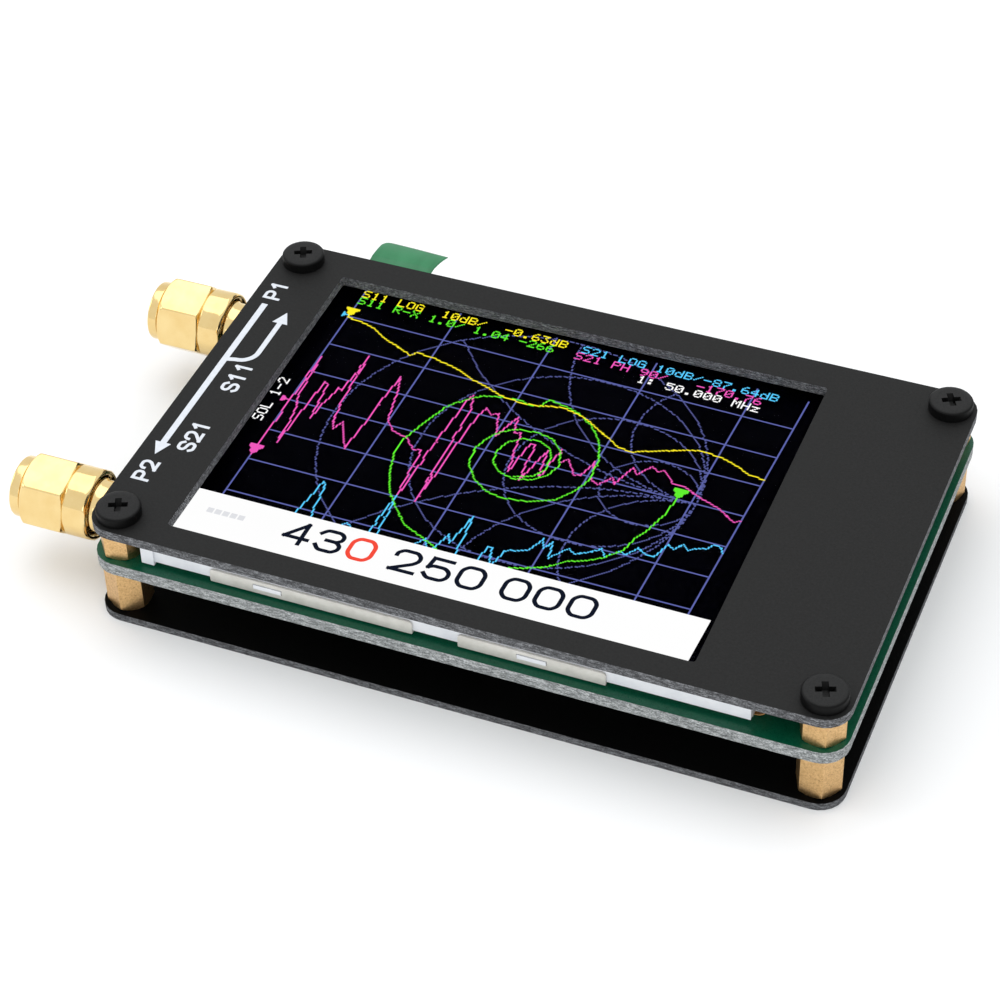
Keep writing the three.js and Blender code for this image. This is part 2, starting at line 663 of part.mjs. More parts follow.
function addUsbSocket() {
  const { x, width, height, wall, back, front, backWall } = USB;
  const outline = (inset) => rectangle(
    x - width / 2 + inset, Z_BOARD - height + inset,
    x + width / 2 - inset, Z_BOARD - inset, height / 2 - inset - 0.01);
  const shell = uprightPlate(outline(0), back, front)
    .subtract(uprightPlate(outline(wall), back + backWall, front + 1));
  add('usb_shell', shell, 'steel');
  const middle = Z_BOARD - height / 2;
  add('usb_tongue', block(
    [x - TONGUE.width / 2, back + backWall + TONGUE.gap, middle - TONGUE.thickness / 2],
    [x + TONGUE.width / 2, TONGUE.front, middle + TONGUE.thickness / 2]), 'blackPlastic');
}

function addPowerSwitch() {
  const { x, length, height, back, front, slotBack, wall, travel } = SWITCH;
  const { knobWidth, knobHeight, knobTip, footLength, footBack } = SWITCH;
  const low = Z_BOARD - height;
  const middle = Z_BOARD - height / 2;
  const clearance = 0.15;
  const cavity = block(
    [x - (footLength + travel) / 2 - clearance, slotBack, low + wall],
    [x + (footLength + travel) / 2 + clearance, front - wall, Z_BOARD - wall]);
  const slotHalf = (knobWidth + travel) / 2 + clearance;
  const slot = block(
    [x - slotHalf, slotBack, middle - knobHeight / 2 - clearance],
    [x + slotHalf, front + 1, middle + knobHeight / 2 + clearance]);
  const housing = block([x - length / 2, back, low], [x + length / 2, front, Z_BOARD]);
  add('power_switch_housing', housing.subtract(cavity).subtract(slot), 'steel');

  const off = x - travel / 2;
  const foot = block(
    [off - footLength / 2, footBack, low + wall + clearance],
    [off + footLength / 2, front - wall - clearance, Z_BOARD - wall - clearance]);
  const knob = block(
    [off - knobWidth / 2, footBack, middle - knobHeight / 2],
    [off + knobWidth / 2, knobTip, middle + knobHeight / 2]);
  add('power_switch_slider', foot.add(knob), 'blackPlastic');
}

// The rocker's lever turns on a pin in a fork, and the fork slides in when it is pressed.
function addRocker() {
  const { x, length, height, back, front, wall, mouth, cavityBack, pivot, press } = ROCKER;
  const low = Z_BOARD - height;
  const middle = Z_BOARD - height / 2;
  const housing = block([x - length / 2, back, low], [x + length / 2, front, Z_BOARD]);
  const cavity = block(
    [x - mouth / 2, cavityBack, low + wall], [x + mouth / 2, front + 1, Z_BOARD - wall]);
  add('rocker_housing', housing.subtract(cavity), 'blackPlastic');

  const forkHalf = 1.6;
  const forkTop = Z_BOARD - wall - 0.08;
  const forkBottom = low + wall + 0.08;
  const forkBack = cavityBack + press + 0.15;
  const gapBack = pivot - LEVER.knuckle - 0.15;
  const fork = block([x - forkHalf, forkBack, forkBottom], [x + forkHalf, pivot + 0.7, forkTop])
    .subtract(block(
      [x - forkHalf - 1, gapBack, forkBottom + CHEEK],
      [x + forkHalf + 1, pivot + 2, forkTop - CHEEK]))
    .add(moved(rod(PIVOT_PIN.radius, forkBottom + 0.1, forkTop - 0.1, 16), x, pivot));
  add('rocker_fork', fork, 'whitePlastic');

  const arm = LEVER.arm / 2;
  const leverBottom = middle - LEVER.thickness / 2;
  const leverTop = middle + LEVER.thickness / 2;
  const lever = moved(rod(LEVER.knuckle, leverBottom, leverTop), x, pivot)
    .add(block([x - arm, pivot, leverBottom], [x + arm, LEVER.paddleAt + 0.5, leverTop]))
    .add(extruded(rectangle(
      x - LEVER.paddle / 2, LEVER.paddleAt, x + LEVER.paddle / 2, LEVER.tip, 0.7),
    middle - 0.9, middle + 0.9, 5))
    .subtract(moved(
      rod(PIVOT_PIN.radius + PIVOT_PIN.clearance, low, Z_BOARD, 16), x, pivot));
  add('rocker_lever', lever, 'blackPlastic');
}

addBoards();
addStandoffs();
addScrews();
addDisplay();
addPorts();
addBattery();
addElectronics();
addUsbSocket();
addPowerSwitch();
addRocker();

export default analyzer;
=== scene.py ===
"""Looks for a handheld vector network analyzer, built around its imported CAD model.

Lengths are millimetres in the CAD model's frame (X along the long edge, Y towards the far
edge, Z up) and become metres where a mesh or a light is made.
"""

import math
import random

import bpy
from mathutils import Matrix, Vector


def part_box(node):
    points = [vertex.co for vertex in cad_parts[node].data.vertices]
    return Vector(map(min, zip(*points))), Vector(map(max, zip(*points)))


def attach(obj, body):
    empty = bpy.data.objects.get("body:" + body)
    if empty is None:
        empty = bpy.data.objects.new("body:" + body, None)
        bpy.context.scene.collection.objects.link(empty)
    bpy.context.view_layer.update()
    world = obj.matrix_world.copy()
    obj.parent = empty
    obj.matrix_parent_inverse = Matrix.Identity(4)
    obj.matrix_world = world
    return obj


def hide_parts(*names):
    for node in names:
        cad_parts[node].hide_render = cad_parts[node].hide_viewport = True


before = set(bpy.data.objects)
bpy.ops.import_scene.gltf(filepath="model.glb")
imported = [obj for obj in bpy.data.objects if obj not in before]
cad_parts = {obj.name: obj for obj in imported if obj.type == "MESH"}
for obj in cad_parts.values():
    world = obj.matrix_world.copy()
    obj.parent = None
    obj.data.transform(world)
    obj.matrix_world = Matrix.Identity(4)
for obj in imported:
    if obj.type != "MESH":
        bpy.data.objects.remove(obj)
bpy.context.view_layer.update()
scene = bpy.context.scene
MM = 0.001


def node_box(node):
    """A CAD node's lowest and highest corners in millimetres."""
    return tuple(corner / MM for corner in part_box(node))


PANEL = node_box("front_panel")
BOARD = node_box("main_board")
CELL = node_box("display_cell")
PANEL_TOP = PANEL[1].z


# ---------------- camera and light

CAMERA = {
    "azimuth": 22.904, "elevation": 41.938, "roll": -1.777, "distance": 310.7,
    "target": (-1.861, -7.632, PANEL_TOP), "lens": 103.18, "sensor": 36.0,
}
# Where each softbox stands, its width and height, and its power in watts
SOFTBOXES = {
    "top_softbox": ((-60, 120, 620), (700, 600), 1.4),
    "left_softbox": ((-620, -160, 330), (300, 420), 0.7),
    "front_softbox": ((260, -640, 240), (520, 200), 0.5),
}
LIT_POINT = (0, 0, 8)
SKY = {"colour": (0.97, 0.985, 1.0, 1), "strength": 0.98}


def add_camera():
    azimuth, elevation, roll = (
        math.radians(CAMERA[key]) for key in ("azimuth", "elevation", "roll"))
    back = Vector((
        math.sin(azimuth) * math.cos(elevation),
        -math.cos(azimuth) * math.cos(elevation),
        math.sin(elevation)))
    level = Vector((math.cos(azimuth), math.sin(azimuth), 0))
    upright = back.cross(level)
    right = level * math.cos(roll) + upright * math.sin(roll)
    up = upright * math.cos(roll) - level * math.sin(roll)
    data = bpy.data.cameras.new("camera")
    data.lens = CAMERA["lens"]
    data.sensor_width = CAMERA["sensor"]
    data.clip_start = 0.01
    data.clip_end = 20
    camera = bpy.data.objects.new("camera", data)
    turn = Matrix((right, up, back)).transposed()
    place = (Vector(CAMERA["target"]) + back * CAMERA["distance"]) * MM
    camera.matrix_world = Matrix.Translation(place) @ turn.to_4x4()
    scene.collection.objects.link(camera)
    scene.camera = camera


def add_softbox(name, place, size, power):
    data = bpy.data.lights.new(name, "AREA")
    data.shape = "RECTANGLE"
    data.size, data.size_y = (side * MM for side in size)
    data.energy = power
    light = bpy.data.objects.new(name, data)
    light.location = Vector(place) * MM
    light.rotation_mode = "QUATERNION"
    aim = (Vector(LIT_POINT) - Vector(place)).normalized()
    light.rotation_quaternion = aim.to_track_quat("-Z", "Y")
    scene.collection.objects.link(light)


def add_lights():
    for name, (place, size, power) in SOFTBOXES.items():
        add_softbox(name, place, size, power)
    world = bpy.data.worlds.new("studio")
    scene.world = world
    world.use_nodes = True
    background = world.node_tree.nodes["Background"]
    background.inputs["Color"].default_value = SKY["colour"]
    background.inputs["Strength"].default_value = SKY["strength"]
    scene.view_settings.view_transform = "Standard"
    scene.view_settings.look = "None"


# ---------------- material kit

class Look:
    """One procedural material: a Principled shader and the nodes that feed it."""

    def __init__(self, name, **constants):
        self.material = bpy.data.materials.new(name)
        self.material.use_nodes = True
        self.tree = self.material.node_tree
        self.shader = self.tree.nodes["Principled BSDF"]
        coordinates = self.node("TexCoord").outputs
        self.place = coordinates["Object"]
        self.facing = coordinates["Normal"]
        for key, value in constants.items():
            socket = key.replace("_", " ").title().replace("Ior", "IOR")
            self.shader.inputs[socket].default_value = value

    def link(self, source, socket):
        self.tree.links.new(source, self.shader.inputs[socket])

    def node(self, kind, inputs=None, **settings):
        made = self.tree.nodes.new("ShaderNode" + kind)
        for key, value in settings.items():
            setattr(made, key, value)
        for key, value in (inputs or {}).items():
            if isinstance(value, bpy.types.NodeSocket):
                self.tree.links.new(value, made.inputs[key])
            else:
                made.inputs[key].default_value = value
        return made

    def stretched(self, x, y, z):
        """The place in millimetres, scaled along each axis."""
        scale = tuple(factor / MM for factor in (x, y, z))
        return self.node("Mapping", {"Vector": self.place, "Scale": scale}).outputs[0]

    def noise(self, per_mm, stretch=(1, 1, 1), detail=3, roughness=0.55, distortion=0):
        return self.node("TexNoise", {
            "Vector": self.stretched(*stretch), "Scale": per_mm, "Detail": detail,
            "Roughness": roughness, "Distortion": distortion}).outputs["Fac"]

    def ramp(self, value, *stops):
        """Colours or grey levels at places from 0 to 1."""
        made = self.node("ValToRGB", {"Fac": value})
        elements = made.color_ramp.elements
        while len(elements) < len(stops):
            elements.new(0.5)
        for element, (where, colour) in zip(elements, stops):
            element.position = where
            if isinstance(colour, (int, float)):
                colour = (colour,) * 3
            element.color = (*colour, 1)
        return made.outputs["Color"]

    def mix(self, amount, first, second):
        """One colour turning into another as the amount goes from 0 to 1."""
        colours = ((*c, 1) if isinstance(c, tuple) else c for c in (first, second))
        inputs = dict(zip((0, 6, 7), (amount, *colours)))
        return self.node("Mix", inputs, data_type="RGBA").outputs[2]

    def math(self, operation, first, second=0.0):
        return self.node("Math", {0: first, 1: second}, operation=operation).outputs[0]

    def bump(self, height, depth_mm):
        made = self.node("Bump", {"Height": height, "Distance": depth_mm * MM})
        self.link(made.outputs[0], "Normal")

    def upward(self):
        """How far a face looks up or down: 1 on a level face, 0 on an upright one."""
        parts = self.node("SeparateXYZ", {"Vector": self.facing})
        return self.math("ABSOLUTE", parts.outputs["Z"])


def toned(name, dark, light, grain=2.0, rough=(0.4, 0.55), bump=0.01, fine=12.0, **constants):
    """A surface whose colour, roughness and relief wander a little."""
    look = Look(name, **constants)
    look.link(look.ramp(look.noise(grain), (0.3, dark), (0.7, light)), "Base Color")
    look.link(look.ramp(look.noise(grain * 1.7), (0.3, rough[0]), (0.7, rough[1])), "Roughness")
    if bump:
        look.bump(look.noise(fine, detail=2), bump)
    return look.material


def laminate(name, mask_dark, mask_light, edge_dark, core, edge_light, rough, gloss):
    """A circuit board: a printed mask on both faces and cut glass fibre on its edges."""
    look = Look(name, specular_ior_level=gloss)
    upward = look.upward()
    mask = look.ramp(look.noise(3.2, detail=4), (0.3, mask_dark), (0.7, mask_light))
    fibres = look.noise(1.5, stretch=(1, 1, 3.5), detail=6, roughness=0.8)
    ends = look.noise(5, stretch=(1, 1, 1.6), detail=4, roughness=0.75)
    weave = look.math(
        "ADD", look.math("MULTIPLY", fibres, 0.6), look.math("MULTIPLY", ends, 0.4))
    edge = look.ramp(weave, (0.4, edge_dark), (0.5, core), (0.6, edge_light))
    level = look.ramp(upward, (0.35, 0.0), (0.6, 1.0))
    look.link(look.mix(level, edge, mask), "Base Color")
    grain = look.ramp(look.noise(9, detail=2), (0.3, rough[0]), (0.7, rough[1]))
    look.link(look.mix(level, (0.75, 0.75, 0.75), grain), "Roughness")
    fine = look.noise(16, detail=2)
    coarse = look.math("MULTIPLY", weave, 5.0)
    look.bump(look.mix(level, coarse, fine), 0.012)
    return look.material


def metal(name, tint, deep, rough, grain=1.5, stain=None, lines=(1, 1, 1), bump=0.002):
    """A metal whose tint drifts between two tones, with optional stains and tool lines."""
    look = Look(name, metallic=1.0)
    colour = look.ramp(look.noise(grain, detail=4), (0.3, deep), (0.65, tint))
    mottle = look.noise(grain * 0.6, detail=6, roughness=0.7, distortion=0.6)
    if stain:
        spots = look.ramp(mottle, (0.56, 0.0), (0.7, 1.0))
        colour = look.mix(spots, colour, stain)
    look.link(colour, "Base Color")
    look.link(look.ramp(mottle, (0.3, rough[0]), (0.75, rough[1])), "Roughness")
    look.bump(look.noise(9, stretch=lines), bump)
    return look.material


def see_through(name, rough):
    """Thin clear sheet: nearly all light passes straight through, a little glances off."""
    look = Look(name)
    clear = look.node("BsdfTransparent")
    level = look.ramp(look.noise(0.6), (0.3, rough * 0.8), (0.7, rough * 1.2))
    gloss = look.node("BsdfGlossy", {"Color": (1, 1, 1, 1), "Roughness": level})
    facing = look.node("LayerWeight", {"Blend": 0.5}).outputs["Facing"]
    glare = look.math("MULTIPLY", look.math("POWER", facing, 5.0), 0.003)
    both = look.node("MixShader", {0: glare, 1: clear.outputs[0], 2: gloss.outputs[0]})
    surface = look.tree.nodes["Material Output"].inputs["Surface"]
    look.tree.links.new(both.outputs[0], surface)
    return look.material


def glowing(name, colour):
    """A lit area of the display, with the faint unevenness of its backlight."""
    look = Look(
        name, roughness=0.6, specular_ior_level=0.0, base_color=(0, 0, 0, 1),
        emission_strength=1.0)
    dim = tuple(0.985 * channel for channel in colour)
    look.link(look.ramp(look.noise(0.05), (0.35, dim), (0.65, colour)), "Emission Color")
    look.material.cycles.emission_sampling = "NONE"
    return look.material


# ---------------- materials

MATERIALS = {
    "panel": laminate(
        "panel", (0.0078, 0.0078, 0.0077), (0.0120, 0.0120, 0.0118),
        (0.014, 0.014, 0.015), (0.09, 0.092, 0.097), (0.30, 0.31, 0.325), (0.5, 0.62), 0.17),
    # The back plate is the panel's own black laminate, with its mask and gloss painted far darker:
    # painted shade for the gap under the board.
    "back_panel_painted_shade": laminate(
        "back_panel_painted_shade", 0.0010, 0.0018, (0.02, 0.02, 0.022), (0.085, 0.086, 0.09),
        (0.24, 0.25, 0.26), (0.5, 0.62), 0.04),
    "board": laminate(
        "board", (0.0, 0.066, 0.032), (0.003, 0.092, 0.046),
        (0.055, 0.06, 0.06), (0.23, 0.245, 0.245), (0.62, 0.64, 0.64), (0.26, 0.36), 0.3),
    "brass": metal(
        "brass", (0.76, 0.50, 0.235), (0.56, 0.335, 0.135), (0.30, 0.42), grain=4.5,
        stain=(0.34, 0.18, 0.07), lines=(1, 1, 0.15), bump=0.006),
    "gold": metal(
        "gold", (0.86, 0.655, 0.31), (0.80, 0.575, 0.245), (0.10, 0.18), grain=0.4,
        lines=(6, 1, 1), bump=0.0006),
    "steel": metal(
        "steel", (0.66, 0.66, 0.65), 0.5, (0.22, 0.36), lines=(1, 8, 1)),
    "tray_steel": toned(
        "tray_steel", (0.62, 0.60, 0.55), (0.76, 0.74, 0.69),
        grain=0.5, rough=(0.32, 0.45), bump=0.004, metallic=0.3),
    "white_plastic": toned(
        "white_plastic", (0.74, 0.76, 0.80), (0.86, 0.87, 0.90),
        grain=0.4, rough=(0.35, 0.5), bump=0.003),
    "black_plastic": toned(
        "black_plastic", (0.010, 0.010, 0.011), (0.022, 0.022, 0.023), bump=0.006),
    "light_guide": toned(
        "light_guide", (0.80, 0.84, 0.90), (0.90, 0.93, 0.97), grain=0.3, bump=0.001),
    "glass": toned(
        "glass", (0.0002, 0.0002, 0.0008), (0.0004, 0.0004, 0.0016),
        grain=0.05, rough=(0.2, 0.3), bump=0, specular_ior_level=0.005),
    "cover_glass": see_through("cover_glass", 0.06),
    "clear_film": see_through("clear_film", 0.12),
    "foam": toned(
        "foam", 0.02, 0.05, fine=3, bump=0.08, rough=(0.85, 0.95)),
    "ptfe": toned(
        "ptfe", (0.82, 0.82, 0.79), (0.9, 0.9, 0.88), rough=(0.3, 0.4), bump=0.004,
        subsurface_weight=0.1),
    "rubber": toned("rubber", 0.02, 0.045, rough=(0.7, 0.85)),
    "pouch": metal(
        "pouch", (0.70, 0.71, 0.73), (0.55, 0.56, 0.58), (0.24, 0.4), grain=0.35, bump=0.12),
    "red_wire": toned("red_wire", (0.42, 0.01, 0.008), (0.56, 0.02, 0.012), bump=0.004),
    "black_wire": toned("black_wire", 0.01, 0.03, bump=0.004),
    "tin": metal("tin", (0.75, 0.74, 0.72), (0.58, 0.57, 0.55), (0.2, 0.38), grain=3),
    "ceramic": toned("ceramic", (0.20, 0.125, 0.075), (0.34, 0.23, 0.15), rough=(0.5, 0.6)),
    "ink": toned("ink", (0.60, 0.63, 0.68), (0.68, 0.71, 0.76), rough=(0.5, 0.6), bump=0.004),
    "chip_resistor": toned(
        "chip_resistor", (0.012, 0.012, 0.013), (0.03, 0.03, 0.032), rough=(0.25, 0.4)),
}

# How far apart the ribbon's copper lines lie
COPPER_PITCH = 0.7


def flex_material():
    """Amber polyimide with copper lines showing through along the ribbon."""
    look = Look("flex", roughness=0.3)
    place = look.node("SeparateXYZ", {"Vector": look.stretched(1, 1, 1)}).outputs["Y"]
    wave = look.math("SINE", look.math("MULTIPLY", place, math.tau / COPPER_PITCH))
    amber = look.ramp(look.noise(0.8), (0.3, (0.30, 0.12, 0.02)), (0.7, (0.38, 0.17, 0.03)))
    lines = look.ramp(wave, (0.45, 0.0), (0.55, 1.0))
    look.link(look.mix(lines, amber, (0.50, 0.26, 0.09)), "Base Color")
    look.bump(wave, 0.01)
    return look.material


def film_material():
    """Thin green film: light passes through it tinted, and its face has a soft gloss."""
    look = Look("green_film", roughness=0.32, specular_ior_level=0.4)
    streaks = look.noise(0.35, stretch=(1.6, 0.5, 1), detail=4)
    tint = look.ramp(streaks, (0.3, (0.015, 0.165, 0.060)), (0.7, (0.028, 0.22, 0.088)))
    look.link(tint, "Base Color")
    look.link(look.ramp(streaks, (0.3, 0.97), (0.7, 0.93)), "Alpha")
    look.bump(streaks, 0.06)
    return look.material


def black_steel_material():
    """Blackened screws, with painted light: the flat of the head is painted a mottled grey, and the
    sides are painted near-black shade.
    """
    look = Look("black_steel", specular_ior_level=0.12)
    mottle = look.ramp(look.noise(6, detail=4), (0.3, 0.013), (0.7, 0.022))
    # Painted light and shade: level faces take the mottled grey, and upright faces take the
    # near-black.
    level = look.ramp(look.upward(), (0.8, 0.0), (0.97, 1.0))
    look.link(look.mix(level, (0.002, 0.002, 0.002), mottle), "Base Color")
    look.link(look.ramp(look.noise(9), (0.3, 0.42), (0.7, 0.58)), "Roughness")
    look.bump(look.noise(14, detail=2), 0.006)
    return look.material


MATERIALS["black_steel"] = black_steel_material()
MATERIALS["flex"] = flex_material()
MATERIALS["green_film"] = film_material()

# The CAD nodes that stay as they are: material, and the width their edges are broken by
STAYING = {
    "panel": (0.07, "front_panel"),
    "back_panel_painted_shade": (0.07, "back_plate"),
    "board": (0.06, "main_board"),
    "brass": (0.06, "upper_standoff lower_standoff"),
    "black_steel": (0.05, "top_screw bottom_screw"),
    "tray_steel": (0.04, "display_tray"),
    "white_plastic": (0.06, "display_frame battery_socket battery_plug rocker_fork"),
    "light_guide": (0.03, "light_guide"),
    "glass": (0.02, "display_cell"),
    "cover_glass": (0.04, "touch_panel"),
    "clear_film": (0, "screen_film"),
    "flex": (0, "display_flex"),
    "foam": (0.05, "display_tape battery_tape"),
    "ptfe": (0.05, "port_insulator"),
    "rubber": (0.1, "cap_gasket"),
    "pouch": (0.5, "battery_cell"),
    "red_wire": (0, "battery_lead_red"),
    "black_wire": (0, "battery_lead_black"),
    "steel": (0.05, "usb_shell power_switch_housing reference_oscillator shield_can"),
    "gold": (0.03, "port_contact"),
    "black_plastic": (
        0.06, "mixer_1 mixer_2 mixer_3 microcontroller audio_codec clock_generator "
        "charger_chip usb_tongue rocker_housing rocker_lever power_switch_slider"),
}
REPLACED = ("cap_shell", "port_jack", "film_tab")
SHARP_DEGREES = 35


def modify(obj, kind, **settings):
    made = obj.modifiers.new(kind.lower(), kind)
    for key, value in settings.items():
        setattr(made, key, value)


def split_edges(obj, degrees):
    """Creases an object's edges that turn by more than that many degrees."""
    modify(obj, "EDGE_SPLIT", split_angle=math.radians(degrees))


def even_shading(obj):
    modify(obj, "WEIGHTED_NORMAL", keep_sharp=True)


def break_edges(obj, width):
    """Rounds an object's sharp edges off by that width."""
    modify(obj, "BEVEL", width=width * MM, segments=2, limit_method="ANGLE",
           angle_limit=math.radians(SHARP_DEGREES))
    even_shading(obj)


def finish_cad_node(node, material, edge):
    """Gives a CAD node its material, broken edges and smooth round faces."""
    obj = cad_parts[node]
    obj.data.materials.clear()
    obj.data.materials.append(MATERIALS[material])
    obj.data.shade_smooth()
    modify(obj, "WELD", merge_threshold=0.002 * MM)
    modify(obj, "DECIMATE", decimate_type="DISSOLVE", angle_limit=math.radians(1))
    if edge:
        break_edges(obj, edge)
    else:
        split_edges(obj, SHARP_DEGREES)
        even_shading(obj)


def finish_cad_nodes():
    rows = {
        stem: (material, edge)
        for material, (edge, stems) in STAYING.items() for stem in stems.split()}
    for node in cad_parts:
        stem = node if node in rows else node.rsplit("_", 1)[0]
        if stem in rows and not node.startswith(REPLACED):
            finish_cad_node(node, *rows[stem])


# ---------------- mesh kit

def new_object(name, points, faces, materials):
    """An object in the scene from points in millimetres."""
    mesh = bpy.data.meshes.new(name)
    mesh.from_pydata([tuple(c * MM for c in point) for point in points], [], faces)
    for material in materials:
        mesh.materials.append(material)
    obj = bpy.data.objects.new(name, mesh)
    scene.collection.objects.link(obj)
    return obj


def piece(name, points, faces, materials, slot=None, body="root", smooth=True, kinds=None):
    """A piece of the object on one of its bodies. kinds gives each face's material number."""
    names = [materials] if isinstance(materials, str) else materials
    obj = new_object(name, points, faces, [MATERIALS[material] for material in names])
    if kinds:
        obj.data.polygons.foreach_set("material_index", kinds)
    if smooth:
        obj.data.shade_smooth()
    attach(obj, body)
    return obj


def ring_mesh(rings, closed=False):
    """Points and faces of a tube through rings of equal length. A tube that isn't closed on
    itself gets a fan at each end."""
    count = len(rings[0])
    points = [point for ring in rings for point in ring]
    faces = []
    for i in range(len(rings) if closed else len(rings) - 1):
        a, b = i * count, (i + 1) % len(rings) * count
        for j in range(count):
            k = (j + 1) % count
            faces.append((a + j, a + k, b + k, b + j))
    if not closed:
        for start, flip in ((0, True), ((len(rings) - 1) * count, False)):
            middle = len(points)
            ring = points[start:start + count]
            points.append(tuple(sum(p[axis] for p in ring) / count for axis in range(3)))
            for j in range(count):
                k = (j + 1) % count
                edge = (start + k, start + j) if flip else (start + j, start + k)
                faces.append((*edge, middle))
    return points, faces


def box_mesh(low, high):
    """Points and faces of a closed box."""
    points = [
        (x, y, z) for z in (low[2], high[2]) for y in (low[1], high[1])
        for x in (low[0], high[0])]
    faces = [
        (0, 2, 3, 1), (4, 5, 7, 6), (0, 1, 5, 4), (2, 6, 7, 3), (0, 4, 6, 2), (1, 3, 7, 5)]
    return points, faces


def joined(parts):
    """Several closed shells as one set of points and faces."""
    points, faces = [], []
    for part_points, part_faces in parts:
        start = len(points)
        points += part_points
        faces += [tuple(start + i for i in face) for face in part_faces]
    return points, faces


def points_in(text):
    """The points of text such as "15,30 24,31"."""
    return [tuple(float(part) for part in pair.split(",")) for pair in text.split()]


def lines_in(text):
    """The lines of text that has a bar between two lines, each as its points."""
    return [points_in(part) for part in text.split("|")]


def between(start, end, share):
    """The point that share of the way from one point to another."""
    return tuple(a + (b - a) * share for a, b in zip(start, end))


def round_angles(count):
    return [math.tau * i / count for i in range(count)]


def soft_min(a, b, blend):
    """The smaller of two lengths, rounded off where they are nearly equal."""
    near = max(blend - abs(a - b), 0) / blend
    return min(a, b) - near * near * blend / 4


def softened(outline, radius, steps=3):
    """An outline with each inner corner rounded by at most radius."""
    made = [outline[0]]
    for before, corner, after in zip(outline, outline[1:], outline[2:]):
        here = Vector(corner)
        arms = [Vector(before) - here, Vector(after) - here]
        reach = min(radius, *(arm.length / 2.5 for arm in arms))
        start, end = (here + arm.normalized() * reach for arm in arms)
        for i in range(steps + 1):
            t = i / steps
            made.append(tuple(start * (1 - t) ** 2 + here * 2 * t * (1 - t) + end * t * t))
    made.append(outline[-1])
    return made


# ---------------- coaxial ports and caps

THREAD_PITCH = 25.4 / 36
# The shares of half a thread's turn that its crest and its flank take up
THREAD_CREST = 0.16
THREAD_FLANK = 0.68
JACK = {
    "radius": 3.175, "length": 9.5, "relief": 1.9, "relief_radius": 3.0, "thread": 0.34,
    "runout": 0.4, "lead_in": 0.3, "tip_chamfer": 0.35, "mouth_chamfer": 0.1, "around": 144,
    "rings_per_turn": 14,
}
THREAD_START = JACK["relief"] + 0.3
THREAD_END = JACK["length"] - JACK["tip_chamfer"]
JACK_BORE = {"radius": 2.06, "mouth_radius": 2.3, "plane": 7.6}
FLANGE = {
    "thickness": 1.6, "width": 5.0, "height": 6.1, "inset": 0.1, "chamfer": 0.08,
    "corner_blend": 0.12,
}
LEG = {
    "length": 3.5, "width": 0.8, "thickness": 0.75, "offset": 1.75, "overlap": 0.3, "gap": 0.02}
CAP = {
    "rim_from_edge": 2.3, "length": 9.8, "across_flats": 8.0, "lip_radius": 4.15,
    "lip_length": 2.8, "notch_width": 0.3, "notch_radius": 3.8, "hex_end": 7.3,
    "collar_radius": 3.55, "collar_at": 8.35, "groove_radius": 3.3, "disc_at": 8.6,
    "disc_radius": 3.5, "bore_radius": 3.3, "bore_depth": 8.1, "edge": 0.3, "turn": 15.0,
    "around": 240, "ring_spacing": 0.35, "softening": 0.22, "hex_blend": 0.07,
}
PORTS = (1, 2)
PORT_Y = {
    port: sum(corner.y for corner in node_box(f"port_contact_{port}")) / 2 for port in PORTS}
PORT_Z = BOARD[1].z + 0.3
PORT_FACE = BOARD[0].x + FLANGE["inset"]


def port_point(port, radius, angle, outward):
    """A point round a port's axis. Angle 0 is up and a quarter turn is the far side."""
    return (
        PORT_FACE - outward,
        PORT_Y[port] + radius * math.sin(angle),
        PORT_Z + radius * math.cos(angle))


def thread_depth(turns):
    """How far a 60 degree thread lies under its crest, from 0 to 1, along its turns."""
    from_crest = abs(turns % 1 - 0.5) * 2
    return min(max((from_crest - THREAD_CREST) / THREAD_FLANK, 0), 1)


def jack_radius(outward, angle):
    """The threaded barrel's radius, with a runout at its root and a lead-in at its mouth."""
    turns = outward / THREAD_PITCH - angle / math.tau
    fade = min(max((outward - THREAD_START) / JACK["runout"], 0), 1)
    fade *= min(max((THREAD_END - outward) / JACK["lead_in"], 0), 1)
    return JACK["radius"] - JACK["thread"] * thread_depth(turns) * fade


